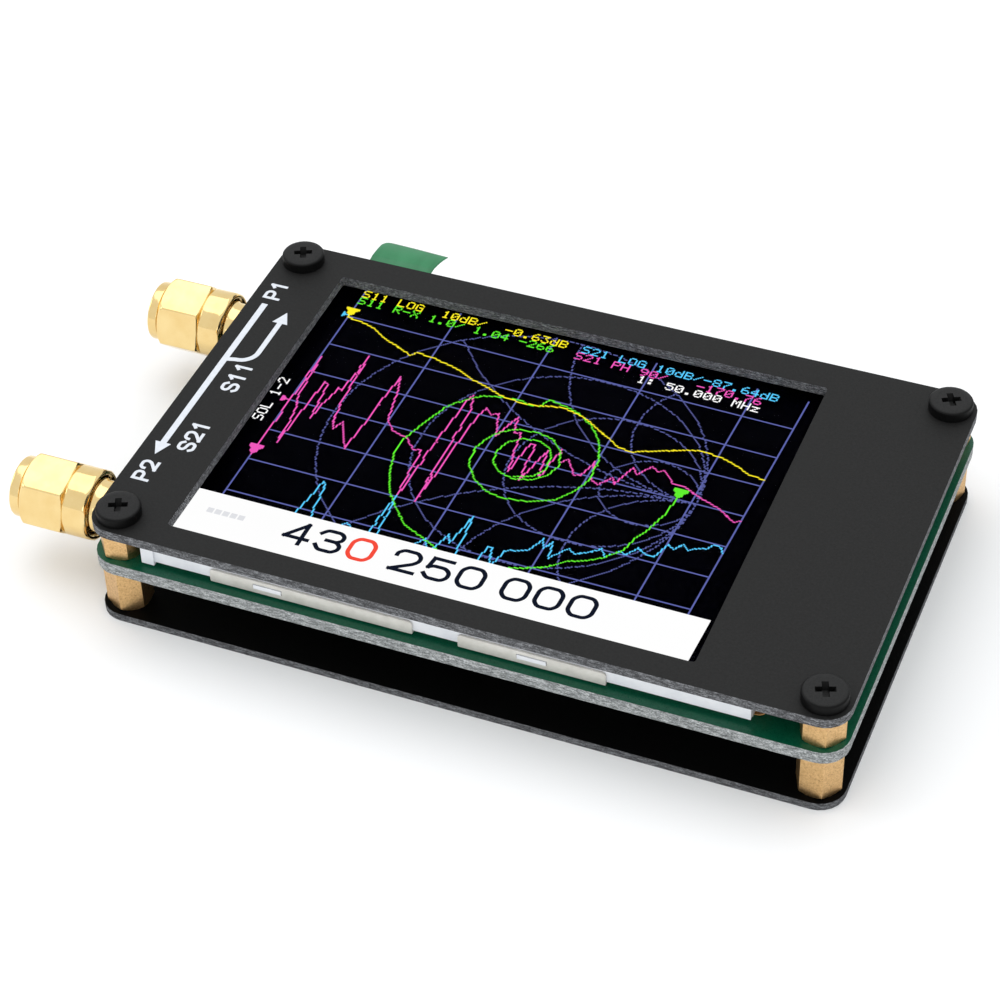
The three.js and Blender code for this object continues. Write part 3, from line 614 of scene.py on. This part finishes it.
def add_port_jack(port):
    def flange_edge(angle):
        level = FLANGE["height"] / 2 / max(abs(math.cos(angle)), 1e-6)
        upright = FLANGE["width"] / 2 / max(abs(math.sin(angle)), 1e-6)
        return soft_min(level, upright, FLANGE["corner_blend"])

    def narrow_edge(angle):
        return flange_edge(angle) - chamfer

    back, chamfer = -FLANGE["thickness"], FLANGE["chamfer"]
    tip = JACK["length"]
    bore, mouth = JACK_BORE["radius"], JACK_BORE["mouth_radius"]
    profile = [
        (back, bore), (back, narrow_edge), (back + chamfer, flange_edge),
        (-chamfer, flange_edge), (0, narrow_edge), (0, JACK["relief_radius"]),
        (JACK["relief"], JACK["relief_radius"])]
    threaded = THREAD_END - THREAD_START
    steps = round(threaded / THREAD_PITCH * JACK["rings_per_turn"])
    for i in range(steps + 1):
        outward = THREAD_START + threaded * i / steps
        profile.append((outward, lambda angle, at=outward: jack_radius(at, angle)))
    profile += [
        (tip, JACK["radius"] - JACK["tip_chamfer"]), (tip, mouth + JACK["mouth_chamfer"]),
        (tip - JACK["mouth_chamfer"], mouth), (JACK_BORE["plane"], mouth),
        (JACK_BORE["plane"], bore)]
    rings = [
        [port_point(port, radius(angle) if callable(radius) else radius, angle, outward)
         for angle in round_angles(JACK["around"])] for outward, radius in profile]
    parts = [ring_mesh(rings, closed=True)]

    # Two legs grip the board from above and two from below.
    gap, thickness = LEG["gap"], LEG["thickness"]
    axis_y = PORT_Y[port]
    start = PORT_FACE + FLANGE["thickness"]
    for offset in (-LEG["offset"], LEG["offset"]):
        for bottom in (BOARD[1].z + gap, BOARD[0].z - gap - thickness):
            parts.append(box_mesh(
                (start - LEG["overlap"], axis_y + offset - LEG["width"] / 2, bottom),
                (start + LEG["length"], axis_y + offset + LEG["width"] / 2,
                 bottom + thickness)))
    jack = piece(f"port_{port}_jack_body", *joined(parts), "gold", slot="gold_plate")
    split_edges(jack, 50)
    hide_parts(f"port_jack_{port}")


def cap_outline():
    """The cap's outline as (distance from the rim, radius), from the bore round the rim to
    the end disc. The hexagon is cut out of it later, so it starts a little wider."""
    corner = CAP["across_flats"] / math.sqrt(3) + 0.02
    edge, bore = CAP["edge"], CAP["bore_radius"]
    lip, lip_end, notch = CAP["lip_radius"], CAP["lip_length"], CAP["notch_width"]
    hex_end, collar_at = CAP["hex_end"], CAP["collar_at"]
    outline = [
        (CAP["bore_depth"], 0.05), (CAP["bore_depth"], bore), (edge, bore),
        (0, bore + edge), (0, lip - edge), (edge, lip), (lip_end, lip),
        (lip_end + notch / 2, CAP["notch_radius"]), (lip_end + notch, corner),
        (hex_end, corner)]
    steps = 7
    for i in range(1, steps + 1):
        angle = math.pi / 2 * i / steps
        outline.append((
            hex_end + (collar_at - hex_end) * math.sin(angle),
            CAP["collar_radius"] + (corner - CAP["collar_radius"]) * math.cos(angle)))
    end, disc = CAP["length"], CAP["disc_radius"]
    outline += [
        (collar_at, CAP["groove_radius"]), (CAP["disc_at"], CAP["groove_radius"]),
        (CAP["disc_at"], disc), (end, disc), (end, 0.05)]
    return softened(outline, CAP["softening"], steps=4)


def add_cap(port):
    turn = math.radians(CAP["turn"])
    sixth = math.pi / 3

    def hex_cut(radius, angle):
        flat = CAP["across_flats"] / 2 / math.cos((angle - turn) % sixth - sixth / 2)
        return soft_min(radius, flat, CAP["hex_blend"])

    rings = []
    outline = []
    corners = cap_outline()
    for start, end in zip(corners, corners[1:]):
        count = max(1, round(math.dist(start, end) / CAP["ring_spacing"]))
        outline += [between(start, end, i / count) for i in range(count)]
    outline.append(corners[-1])
    inside = True
    for at, radius in outline:
        inside = inside and radius <= CAP["bore_radius"] + CAP["edge"]
        hexagonal = not inside and at < CAP["disc_at"]
        rings.append([
            port_point(
                port, hex_cut(radius, angle) if hexagonal else radius, angle,
                CAP["rim_from_edge"] + at)
            for angle in round_angles(CAP["around"])])
    cap = piece(
        f"cap_{port}_body", *ring_mesh(rings), "gold", slot="gold_plate", body=f"cap_{port}")
    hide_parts(f"cap_shell_{port}")


# ---------------- display picture

# The picture is painted in the display's own pixels, u to the right and v down from its
# top left corner, and each run of one colour becomes a flat patch just above the cell.
PICTURE = {"width": 320, "height": 244, "left": 15, "right": 305, "top": 0, "bottom": 203}
# Where the corners of the picture's grid lie in X and Y, from the far left clockwise
PICTURE_CORNERS = ((-31.7, 24.23), (24.04, 22.41), (22.42, -14.7), (-31.94, -14.47))
GRID = {"left": 15, "right": 304, "column": 64.2, "row": 28.75, "rows": 7}
CHART = {"u": 160, "v": 116, "radius": 115}
DOTS_PER_PIXEL = 0.72
BAR_TOP = 206
COLOURS = {
    "grid": (0.115, 0.135, 0.42), "chart": (0.095, 0.11, 0.33), "yellow": (1.0, 0.86, 0.02),
    "green": (0.12, 0.86, 0.03), "magenta": (0.86, 0.10, 0.50), "cyan": (0.10, 0.60, 1.0),
    "white": (1.0, 1.0, 1.0), "digit": (0.006, 0.009, 0.02), "red": (0.93, 0.075, 0.045),
    "faint": (0.76, 0.77, 0.80),
}
MATERIALS.update({name: glowing(f"lit_{name}", colour) for name, colour in COLOURS.items()})

# Each glyph is five columns of seven dots, one byte a column with its lowest bit on top.
GLYPH_TABLE = """
    0 3E5149453E  1 00427F4000  2 4261514946  3 2141454B31  4 1814127F10  5 2745454539
    6 3C4A494930  7 0171090503  8 3649494936  9 064949291E  . 0060600000  - 0808080808
    / 2010080402  : 0036360000  S 4649494931  L 7F40404040  O 3E4141413E  G 3E4149497A
    d 384444487F  B 7F49494936  M 7F020C027F  H 7F0808087F  z 4464544C44  R 7F09192946
    X 6314081463  P 7F09090906""".split()
GLYPHS = dict(zip(GLYPH_TABLE[::2], GLYPH_TABLE[1::2]))
GLYPH_STEP = 6

# Turning points of the traces, in display pixels, with a bar between two parts of a trace
REFLECTION = points_in("""
    15,30 24,31 34,34 42,39 50,43 60,47 66,50 69,46 80,47 93,50 104,54 112,58 122,61 132,65
    145,67 155,66 165,63 173,62 185,65 195,71 205,77 215,84 224,85 232,81 243,76 253,71 262,69
    273,70 285,74 295,79 304,80""")
PHASE = points_in("""
    15,160 16,71 19,112 22,121 25,153 28,92 31,94 34,126 38,94 41,96 43,60 45,104 48,122 51,130
    54,122 58,130 65,144 69,71 73,84 79,112 85,119 95,121 103,130 108,129 111,170 115,78 117,71
    121,84 123,172 127,88 129,79 134,84 138,81 144,101 150,80 153,94 157,93 163,128 166,100
    169,100 172,133 178,102 182,127 185,98 188,110 192,105 200,117 204,116 207,101 211,117
    216,120 222,111 225,116 230,98 234,103 240,93 244,96 248,94 256,103 264,103 275,109 287,113
    293,117 300,122 304,120""")
THROUGH = lines_in("""
    62,206 66,175 68,177 72,206 | 91,206 94,203 98,206 | 109,206 111,171 114,206 | 138,206
    142,199 145,206 | 149,206 153,191 156,198 160,172 163,206 | 177,206 178,193 181,193 184,206
    | 186,206 188,193 196,190 201,187 205,175 208,183 211,176 214,190 219,181 222,178 226,181
    233,177 239,171 243,177 249,170 254,171 258,163 265,167 269,167 273,154 277,157 281,151
    285,155 290,151 294,150 297,145 300,145 304,150""")
WINDING = points_in("""
    263,116 262,130 258,145 253,157 251,168 243,178 233,185 225,188 216,197 203,203 193,206
    173,210 155,207 143,201 126,193 115,181 106,170 99,155 94,137 94,125 98,110 102,98 107,85
    115,76 123,69 136,66 146,65 151,67 158,66 161,58 171,60 181,63 193,71 203,84 209,100 210,118
    206,130 198,142 183,149 168,151 158,149 148,142 139,130 137,115 141,103 146,96 155,90 166,89
    176,91 185,100 189,112 186,123 179,130 168,133 158,130 151,122 150,113 153,103 160,97 170,96
    178,100 182,108 183,118 178,127 168,131""")

# The traces in the order they are drawn: colour, points, step, wander and random seed
TRACES = [
    *(("cyan", part, 4, 0.5, 11 + k) for k, part in enumerate(THROUGH)),
    ("magenta", PHASE, 5, 0.5, 5), ("green", WINDING, 5, 0.3, 3),
    ("yellow", REFLECTION, 5, 0.3, 8)]
# Triangles: where the tip is, the size, the colour, and whether it points to the right
MARKERS = [
    (15, 29, 9, "yellow", False), (14, 28, 4, "cyan", True), (15, 168, 10, "magenta", False),
    (14, 115, 5, "magenta", True), (263, 115, 10, "green", False)]
WORDS = [
    (15, 2, "yellow", "S11 LOG  10dB/  -0.63dB"), (15, 9, "green", "S11 R-X 1.0/ 1.04 -266"),
    (162, 2, "cyan", "S21 LOG 10dB/-87.64dB"), (160, 9, "magenta", "S21 PH 90/   -170.76"),
    (203, 16, "white", "1: 50.000 MHz")]
# Plain blocks where a key in the lower bar would have its word
KEY = {"left": 13, "width": 4, "pitch": 5, "count": 5, "top": 219, "bottom": 223}
# How far the picture's patches and then its large figures lie above the cell, and how much
# higher each further stroke lies, so that no two faces share a plane
LIFT = {"patch": 0.03, "figure": 0.05, "stroke": 0.003}


class Picture:
    """The display's pixels, each holding the name of its colour."""

    def __init__(self):
        self.dots = {}

    def dot(self, u, v, colour):
        at = (round(u), round(v))
        if 0 <= at[0] < PICTURE["width"] and 0 <= at[1] < PICTURE["height"]:
            self.dots[at] = colour

    def line(self, start, end, colour):
        steps = max(1, math.ceil(max(abs(end[0] - start[0]), abs(end[1] - start[1]))))
        for i in range(steps + 1):
            self.dot(*between(start, end, i / steps), colour)

    def path(self, points, colour):
        for start, end in zip(points, points[1:]):
            self.line(start, end, colour)

    def arc(self, u, v, radius, colour, inside=None):
        """A dotted circle, or the part of it that lies inside another circle."""
        for angle in round_angles(round(math.tau * radius * DOTS_PER_PIXEL)):
            at = (u + radius * math.cos(angle), v + radius * math.sin(angle))
            if inside and math.dist(at, inside[:2]) > inside[2]:
                continue
            self.dot(*at, colour)

    def block(self, left, top, right, bottom, colour):
        for u in range(left, right):
            for v in range(top, bottom):
                self.dot(u, v, colour)

    def words(self, text, u, v, colour, upright=False):
        for k, letter in enumerate(text):
            columns = bytes.fromhex(GLYPHS.get(letter, "0000000000"))
            for column, dots in enumerate(columns):
                for row in range(7):
                    if not dots >> row & 1:
                        continue
                    along = k * GLYPH_STEP + column
                    at = (u + row, v - along) if upright else (u + along, v + row)
                    self.dot(*at, colour)

    def marker(self, u, v, size, colour, sideways):
        """A filled triangle whose tip is at (u, v), pointing down or to the right."""
        for row in range(size):
            half = round(row * 0.5)
            for side in range(-half, half + 1):
                self.dot(*((u - row, v + side) if sideways else (u + side, v - row)), colour)

    def runs(self):
        """Each unbroken run of one colour along a row, as (left, right, row, colour)."""
        for v in range(PICTURE["height"]):
            u = 0
            while u < PICTURE["width"]:
                colour = self.dots.get((u, v))
                end = u + 1
                while end < PICTURE["width"] and self.dots.get((end, v)) == colour:
                    end += 1
                if colour:
                    yield u, end, v, colour
                u = end


def display_point(u, v, lift):
    """Where a display pixel's top left corner lies in the frame."""
    across = (u - PICTURE["left"]) / (PICTURE["right"] - PICTURE["left"])
    down = (v - PICTURE["top"]) / (PICTURE["bottom"] - PICTURE["top"])
    far_left, far_right, near_right, near_left = (Vector(at) for at in PICTURE_CORNERS)
    far = far_left.lerp(far_right, across)
    near = near_left.lerp(near_right, across)
    return (*far.lerp(near, down), CELL[1].z + lift)


def jittered(points, spacing, wander, seed):
    """A trace through the turning points with the small steps of a measured one."""
    rng = random.Random(seed)
    made = [points[0]]
    for start, end in zip(points, points[1:]):
        steps = max(1, round(math.dist(start, end) / spacing))
        for i in range(1, steps + 1):
            shake = wander if i < steps else 0
            made.append(tuple(
                part + rng.uniform(-shake, shake) for part in between(start, end, i / steps)))
    return made


def paint_picture():
    picture = Picture()
    left, right = GRID["left"], GRID["right"]
    for k in range(GRID["rows"] + 1):
        v = k * GRID["row"]
        picture.line((left, v), (right, v), "grid")
    for u in (*(left + k * GRID["column"] for k in range(5)), right):
        picture.line((u, 0), (u, BAR_TOP), "grid")

    # The round chart: circles of equal resistance and arcs of equal reactance
    u0, v0, full = CHART["u"], CHART["v"], CHART["radius"]
    rim = (u0, v0, full + 0.5)
    picture.arc(u0, v0, full, "chart")
    for share in (0.75, 0.5, 0.25):
        picture.arc(u0 + full * (1 - share), v0, full * share, "chart")
    for share in (0.5, 1.0, 2.0):
        for side in (-1, 1):
            picture.arc(u0 + full, v0 + side * full * share, full * share, "chart", rim)

    for colour, points, spacing, wander, seed in TRACES:
        picture.path(jittered(points, spacing, wander, seed), colour)
    for u, v, size, colour, sideways in MARKERS:
        picture.marker(u, v, size, colour, sideways)
    for u, v, colour, text in WORDS:
        picture.words(text, u, v, colour)
    picture.words("SOL 1-2", 1, 138, "white", upright=True)
    picture.block(0, BAR_TOP, 318, PICTURE["height"], "white")
    for k in range(KEY["count"]):
        left = KEY["left"] + k * KEY["pitch"]
        picture.block(left, KEY["top"], left + KEY["width"], KEY["bottom"], "faint")
    return picture


def add_picture():
    names = ["grid", "chart", "yellow", "green", "magenta", "cyan", "white", "faint"]
    points, faces, kinds = [], [], []
    for left, right, v, colour in paint_picture().runs():
        if display_point(left, v, 0)[1] > CELL[1].y:
            continue
        start = len(points)
        points += [
            display_point(*corner, LIFT["patch"])
            for corner in ((left, v + 1), (right, v + 1), (right, v), (left, v))]
        faces.append((start, start + 1, start + 2, start + 3))
        kinds.append(names.index(colour))
    piece("display_picture", points, faces, names, slot="screen", smooth=False, kinds=kinds)


# Centre lines of the figures and letters, each in a box one unit wide and high, with a
# bar between two lines
FIGURES = {
    "0": "0,.5 0,.78 .22,1 .78,1 1,.78 1,.22 .78,0 .22,0 0,.22 0,.5",
    "1": ".2,.78 .55,1 | .55,1 .55,0",
    "2": "0,.72 0,.82 .2,1 .8,1 1,.82 1,.62 .84,.44 .02,0 | 0,0 1,0",
    "3":
        "0,.8 .2,1 .78,1 .97,.86 .97,.66 .78,.52 .35,.52 | .35,.52 .8,.52 1,.36 1,.18 .8,0 "
        ".2,0 0,.2",
    "4": ".74,0 .74,1 | .74,1 0,.27 | 0,.27 1,.27",
    "5": ".92,1 .12,1 | .12,1 .05,.52 | .05,.52 .25,.62 .76,.62 1,.44 1,.18 .8,0 .2,0 0,.18",
    "P": "0,0 0,1 | 0,1 .76,1 1,.84 1,.6 .76,.44 0,.44",
    "S": "1,.8 .8,1 .2,1 0,.86 0,.66 .2,.54 .8,.46 1,.34 1,.16 .8,0 .2,0 0,.2",
}


def stroke(centre_line, width):
    """A flat ribbon of that width along a line of points, with square ends."""
    line = [Vector(point) for point in centre_line]
    line[0] = line[0] + (line[0] - line[1]).normalized() * width / 2
    line[-1] = line[-1] + (line[-1] - line[-2]).normalized() * width / 2
    left, right = [], []
    for i, point in enumerate(line):
        before, after = line[max(i - 1, 0)], line[min(i + 1, len(line) - 1)]
        along = (after - before).normalized()
        side = Vector((-along.y, along.x)) * width / 2
        left.append(tuple(point + side))
        right.append(tuple(point - side))
    count = len(line)
    faces = [(count + i, count + i + 1, i + 1, i) for i in range(count - 1)]
    return left + right, faces


def lettering(text, size, pitch, weight):
    """The strokes of some text, its middle at the origin, each as flat points and faces."""
    shapes = []
    for k, letter in enumerate(text):
        shift = (k - (len(text) - 1) / 2) * pitch
        for centre_line in lines_in(FIGURES[letter]):
            placed = [
                (shift + (x - 0.5) * size[0], (y - 0.5) * size[1]) for x, y in centre_line]
            shapes.append(stroke(softened(placed, size[1] * 0.12), weight))
    return shapes


READOUT = {
    "groups": ("430", "250", "000"), "centres": (92, 160, 227.5), "pitch": 20.1,
    "size": (14.3, 16.6), "weight": 2.7, "middle": 221.5,
}


def add_readout():
    """The large figures in the display's lower bar, the third of them picked out in red."""
    parts = {"digit": [], "red": []}
    for group, (text, centre) in enumerate(zip(READOUT["groups"], READOUT["centres"])):
        for k, figure in enumerate(text):
            u0 = centre + (k - 1) * READOUT["pitch"]
            strokes = lettering(figure, READOUT["size"], 0, READOUT["weight"])
            for layer, (points, faces) in enumerate(strokes):
                lift = LIFT["figure"] + LIFT["stroke"] * layer
                placed = [
                    display_point(u0 + u, READOUT["middle"] - v, lift) for u, v in points]
                parts["red" if (group, k) == (0, 2) else "digit"].append((placed, faces))
    for colour, shapes in parts.items():
        piece(f"display_figures_{colour}", *joined(shapes), colour, slot="screen",
              smooth=False)


# ---------------- printed panel marks

MARKS = {
    "line_x": -40.6, "line_start": 14.5, "line_tip": -13.8, "width": 0.75,
    "branch_y": 4.3, "branch_x": -37.4, "branch_tip": 14.2, "branch_width": 0.62,
    "bend": 2.0, "arrow_length": 2.1, "arrow_half": 0.95, "arrow_overlap": 0.42,
    "letter": (1.2, 1.75), "letter_pitch": 1.8, "letter_weight": 0.38,
}
LABELS = {"P1": (-40.4, 17.6), "P2": (-40.3, -16.6), "S11": (-37.8, 1.4), "S21": (-37.85, -9.6)}
# The ink's lower and upper face above the panel, and how much higher a further layer lies
INK = (0.001, 0.02)
INK_LAYER = 0.0015


def printed(flat_points, flat_faces, layer=0):
    """A closed thin layer of ink on the panel from flat points and faces in X and Y. Strokes
    that cross take layers of their own, so no two faces lie in one plane."""
    count = len(flat_points)
    points = [
        (x, y, PANEL_TOP + base + INK_LAYER * layer) for base in INK for x, y in flat_points]
    faces = [tuple(i + count for i in face) for face in flat_faces]
    faces += [tuple(reversed(face)) for face in flat_faces]
    sides = {edge for face in flat_faces for edge in zip(face, face[1:] + face[:1])}
    for a, b in sorted(sides):
        if (b, a) not in sides:
            faces.append((a, b, b + count, a + count))
    return points, faces


def add_panel_marks():
    m = MARKS
    neck = m["arrow_length"] - m["arrow_overlap"]
    down = stroke([(m["line_x"], m["line_start"]), (m["line_x"], m["line_tip"] + neck)], m["width"])
    bend, x, y = m["bend"], m["branch_x"], m["branch_y"]
    curve = [(m["line_x"] + 0.3, y - 0.25), (x - bend, y)]
    for i in range(1, 9):
        angle = -math.pi / 2 + math.pi / 2 * i / 8
        curve.append((x - bend + bend * math.cos(angle), y + bend + bend * math.sin(angle)))
    curve.append((x, m["branch_tip"] - neck))
    shapes = [printed(*down), printed(*stroke(curve, m["branch_width"]), layer=1)]
    for tip_x, tip_y, way in ((m["line_x"], m["line_tip"], -1), (x, m["branch_tip"], 1)):
        base = tip_y - way * m["arrow_length"]
        head = [
            (tip_x + way * m["arrow_half"], base), (tip_x, tip_y),
            (tip_x - way * m["arrow_half"], base)]
        shapes.append(printed(head, [(0, 1, 2)], layer=2))
    for text, (x, y) in LABELS.items():
        strokes = lettering(text, m["letter"], m["letter_pitch"], m["letter_weight"])
        for layer, (points, faces) in enumerate(strokes):
            turned = [(x - up, y + along) for along, up in points]
            shapes.append(printed(turned, faces, layer))
    piece("panel_marks", *joined(shapes), "ink", slot="matte_panel", smooth=False)


# ---------------- film pull tab

TAB = {
    "left": -33.1, "right": -25.2, "start": 23.1, "lift": 12.105, "thickness": 0.08,
    "rise": 0.3, "left_tip": 32.4, "right_tip": 32.05, "corner": 0.9, "flare": 0.6,
    "drift": 0.25, "curl": 0.35, "ripple": 0.06,
}


def add_film_tab():
    """The protective film's pull tab, which widens a little towards its free end."""
    across, along = 32, 40
    width = TAB["right"] - TAB["left"]
    corner = TAB["corner"]
    points, faces = [], []
    for i in range(along + 1):
        for j in range(across + 1):
            s, t = i / along, j / across
            tip = TAB["left_tip"] + (TAB["right_tip"] - TAB["left_tip"]) * t
            tip -= corner - math.sqrt(corner ** 2 - max(corner - width * t, 0) ** 2)
            y = TAB["start"] + (tip - TAB["start"]) * s
            beyond = max(y - PANEL[1].y, 0)
            out = beyond / (TAB["left_tip"] - PANEL[1].y)
            x = TAB["left"] + TAB["drift"] * out + (width + TAB["flare"] * out ** 2) * t
            lifted = TAB["lift"] + TAB["rise"] * min(beyond / 2, 1) ** 2
            curl = TAB["curl"] * max(2 * out - 1, 0) ** 2
            ripple = TAB["ripple"] * math.sin(3.1 * t + 0.6) * min(beyond / 2, 1)
            points.append((x, y, lifted - curl + ripple))
    row = across + 1
    for i in range(along):
        for j in range(across):
            k = i * row + j
            faces.append((k, k + 1, k + row + 1, k + row))
    tab = piece("screen_film_tab", points, faces, "green_film", slot="green_film")
    modify(tab, "SOLIDIFY", thickness=TAB["thickness"] * MM, offset=1)
    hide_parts("film_tab")


# ---------------- small parts on the board

# Chips with bent leads: how many sides have them, and how many leads a side has
LEADED = {
    "mixer_1": (2, 4), "mixer_2": (2, 4), "mixer_3": (2, 4), "microcontroller": (4, 12),
    "charger_chip": (2, 4), "clock_generator": (2, 5),
}
LEAD = {
    "root": -0.05, "shoulder": 0.3, "knee": 0.5, "reach": 0.95, "thickness": 0.13,
    "height_share": 0.45, "width_share": 0.42,
}
PASSIVE = {"length": 1.6, "width": 0.8, "terminal": 0.32, "step": 0.02, "edge": 0.05}
PASSIVE_HEIGHT = {"ceramic": 0.7, "chip_resistor": 0.455}
# Rows of small parts under the board: first X, last X, Y, and how many there are
PASSIVE_ROWS = [
    (-36, -22, 25.3, 7), (-6.5, 0.5, 25.3, 4), (15.5, 21, 25.3, 3), (-36, -26, 20.6, 5),
    (-2, 1, 16, 2), (15, 21, 20.4, 3), (-36, -14, -25.2, 9), (4, 36, -25.2, 11),
]
SOLDER = {
    "x": -39.85, "half": (1.15, 0.8), "height": 0.55, "taper": 0.85, "rings": 6, "around": 20,
    "offsets": (-LEG["offset"], 0, LEG["offset"]),
}


def lead_mesh(foot, outward, height, width):
    """One bent lead from a chip's side at that height down to the board's underside."""
    side = Vector((-outward.y, outward.x, 0)) * width / 2
    thick = Vector((0, 0, LEAD["thickness"]))
    path = [
        (LEAD["root"], height), (LEAD["shoulder"], height), (LEAD["knee"], thick.z),
        (LEAD["reach"], thick.z)]
    rings = []
    for out, drop in path:
        middle = foot + outward * out - Vector((0, 0, drop))
        corners = (middle - side, middle + side, middle + side + thick, middle - side + thick)
        rings.append([tuple(corner) for corner in corners])
    return ring_mesh(rings)


def add_chip_leads():
    for chip, (sides, count) in LEADED.items():
        low, high = node_box(chip)
        middle = (low + high) / 2
        half = (high - low) / 2
        shapes = []
        for angle in round_angles(sides):
            outward = Vector((math.cos(angle), math.sin(angle), 0))
            along = Vector((-outward.y, outward.x, 0))
            out = abs(outward.x) * half.x + abs(outward.y) * half.y
            run = abs(along.x) * half.x + abs(along.y) * half.y
            pitch = 2 * run / (count + 0.6)
            height, width = half.z * 2 * LEAD["height_share"], pitch * LEAD["width_share"]
            for k in range(count):
                foot = middle + outward * out + along * (k - (count - 1) / 2) * pitch
                foot.z = BOARD[0].z
                shapes.append(lead_mesh(foot, outward, height, width))
        piece(f"{chip}_leads", *joined(shapes), "tin", smooth=False)


def passive_box(x, y, upright, along, across, bottom):
    """A box between two places along a small part, as far across on both of its sides."""
    low, high = (along[0], -across), (along[1], across)
    if upright:
        low, high = low[::-1], high[::-1]
    return box_mesh((x + low[0], y + low[1], bottom), (x + high[0], y + high[1], BOARD[0].z))


def add_passives():
    """Rows of capacitors and resistors under the board, a metal cap on each of their ends."""
    picks = random.Random(21)
    bodies = {kind: [] for kind in PASSIVE_HEIGHT}
    caps = []
    step, half_width, end = PASSIVE["step"], PASSIVE["width"] / 2, PASSIVE["length"] / 2
    start = end - PASSIVE["terminal"]
    for first, last, y, count in PASSIVE_ROWS:
        for k in range(count):
            x = first + (last - first) * k / (count - 1)
            place = (x, y, picks.random() < 0.4)
            kind = picks.choice(sorted(bodies))
            bottom = BOARD[0].z - PASSIVE_HEIGHT[kind]
            bodies[kind].append(
                passive_box(*place, (step - end, end - step), half_width - step, bottom))
            for along in ((-end, -start), (start, end)):
                caps.append(passive_box(*place, along, half_width, bottom - step))
    for kind, shapes in bodies.items():
        break_edges(piece(f"{kind}_bodies", *joined(shapes), kind), PASSIVE["edge"])
    break_edges(piece("passive_terminals", *joined(caps), "tin"), PASSIVE["edge"])


def solder_mound(x, y, surface, way):
    """A low mound on one face of the board, standing up or hanging down."""
    half_x, half_y = SOLDER["half"]
    rings = []
    for k in range(SOLDER["rings"]):
        rise = math.sin(k / (SOLDER["rings"] - 1) * math.pi / 2)
        share = 1 - SOLDER["taper"] * rise ** 2
        z = surface + way * SOLDER["height"] * rise
        rings.append([
            (x + half_x * share * math.cos(angle),
             y + way * half_y * share * math.sin(angle), z)
            for angle in round_angles(SOLDER["around"])])
    return ring_mesh(rings)


def add_port_solder():
    """Solder where the jacks' legs lie on both faces of the board and a pin on the upper."""
    shapes = []
    for port in PORTS:
        for offset in SOLDER["offsets"]:
            at = (SOLDER["x"], PORT_Y[port] + offset)
            shapes.append(solder_mound(*at, BOARD[1].z, 1))
            if offset:
                shapes.append(solder_mound(*at, BOARD[0].z, -1))
    piece("port_solder", *joined(shapes), "tin")


# ---------------- floor and assembly

# Half the length of the floor's sides
FLOOR_HALF = 6000


def add_floor():
    corners = [(-1, -1), (1, -1), (1, 1), (-1, 1)]
    points = [(x * FLOOR_HALF, y * FLOOR_HALF, 0) for x, y in corners]
    paint = toned("floor", 0.90, 0.93, grain=0.01, rough=(0.6, 0.7), bump=0)
    new_object("floor", points, [(0, 1, 2, 3)], [paint])


add_camera()
add_lights()
add_floor()
finish_cad_nodes()
for port in PORTS:
    add_port_jack(port)
    add_cap(port)
add_picture()
add_readout()
add_panel_marks()
add_film_tab()
add_chip_leads()
add_passives()
add_port_solder()
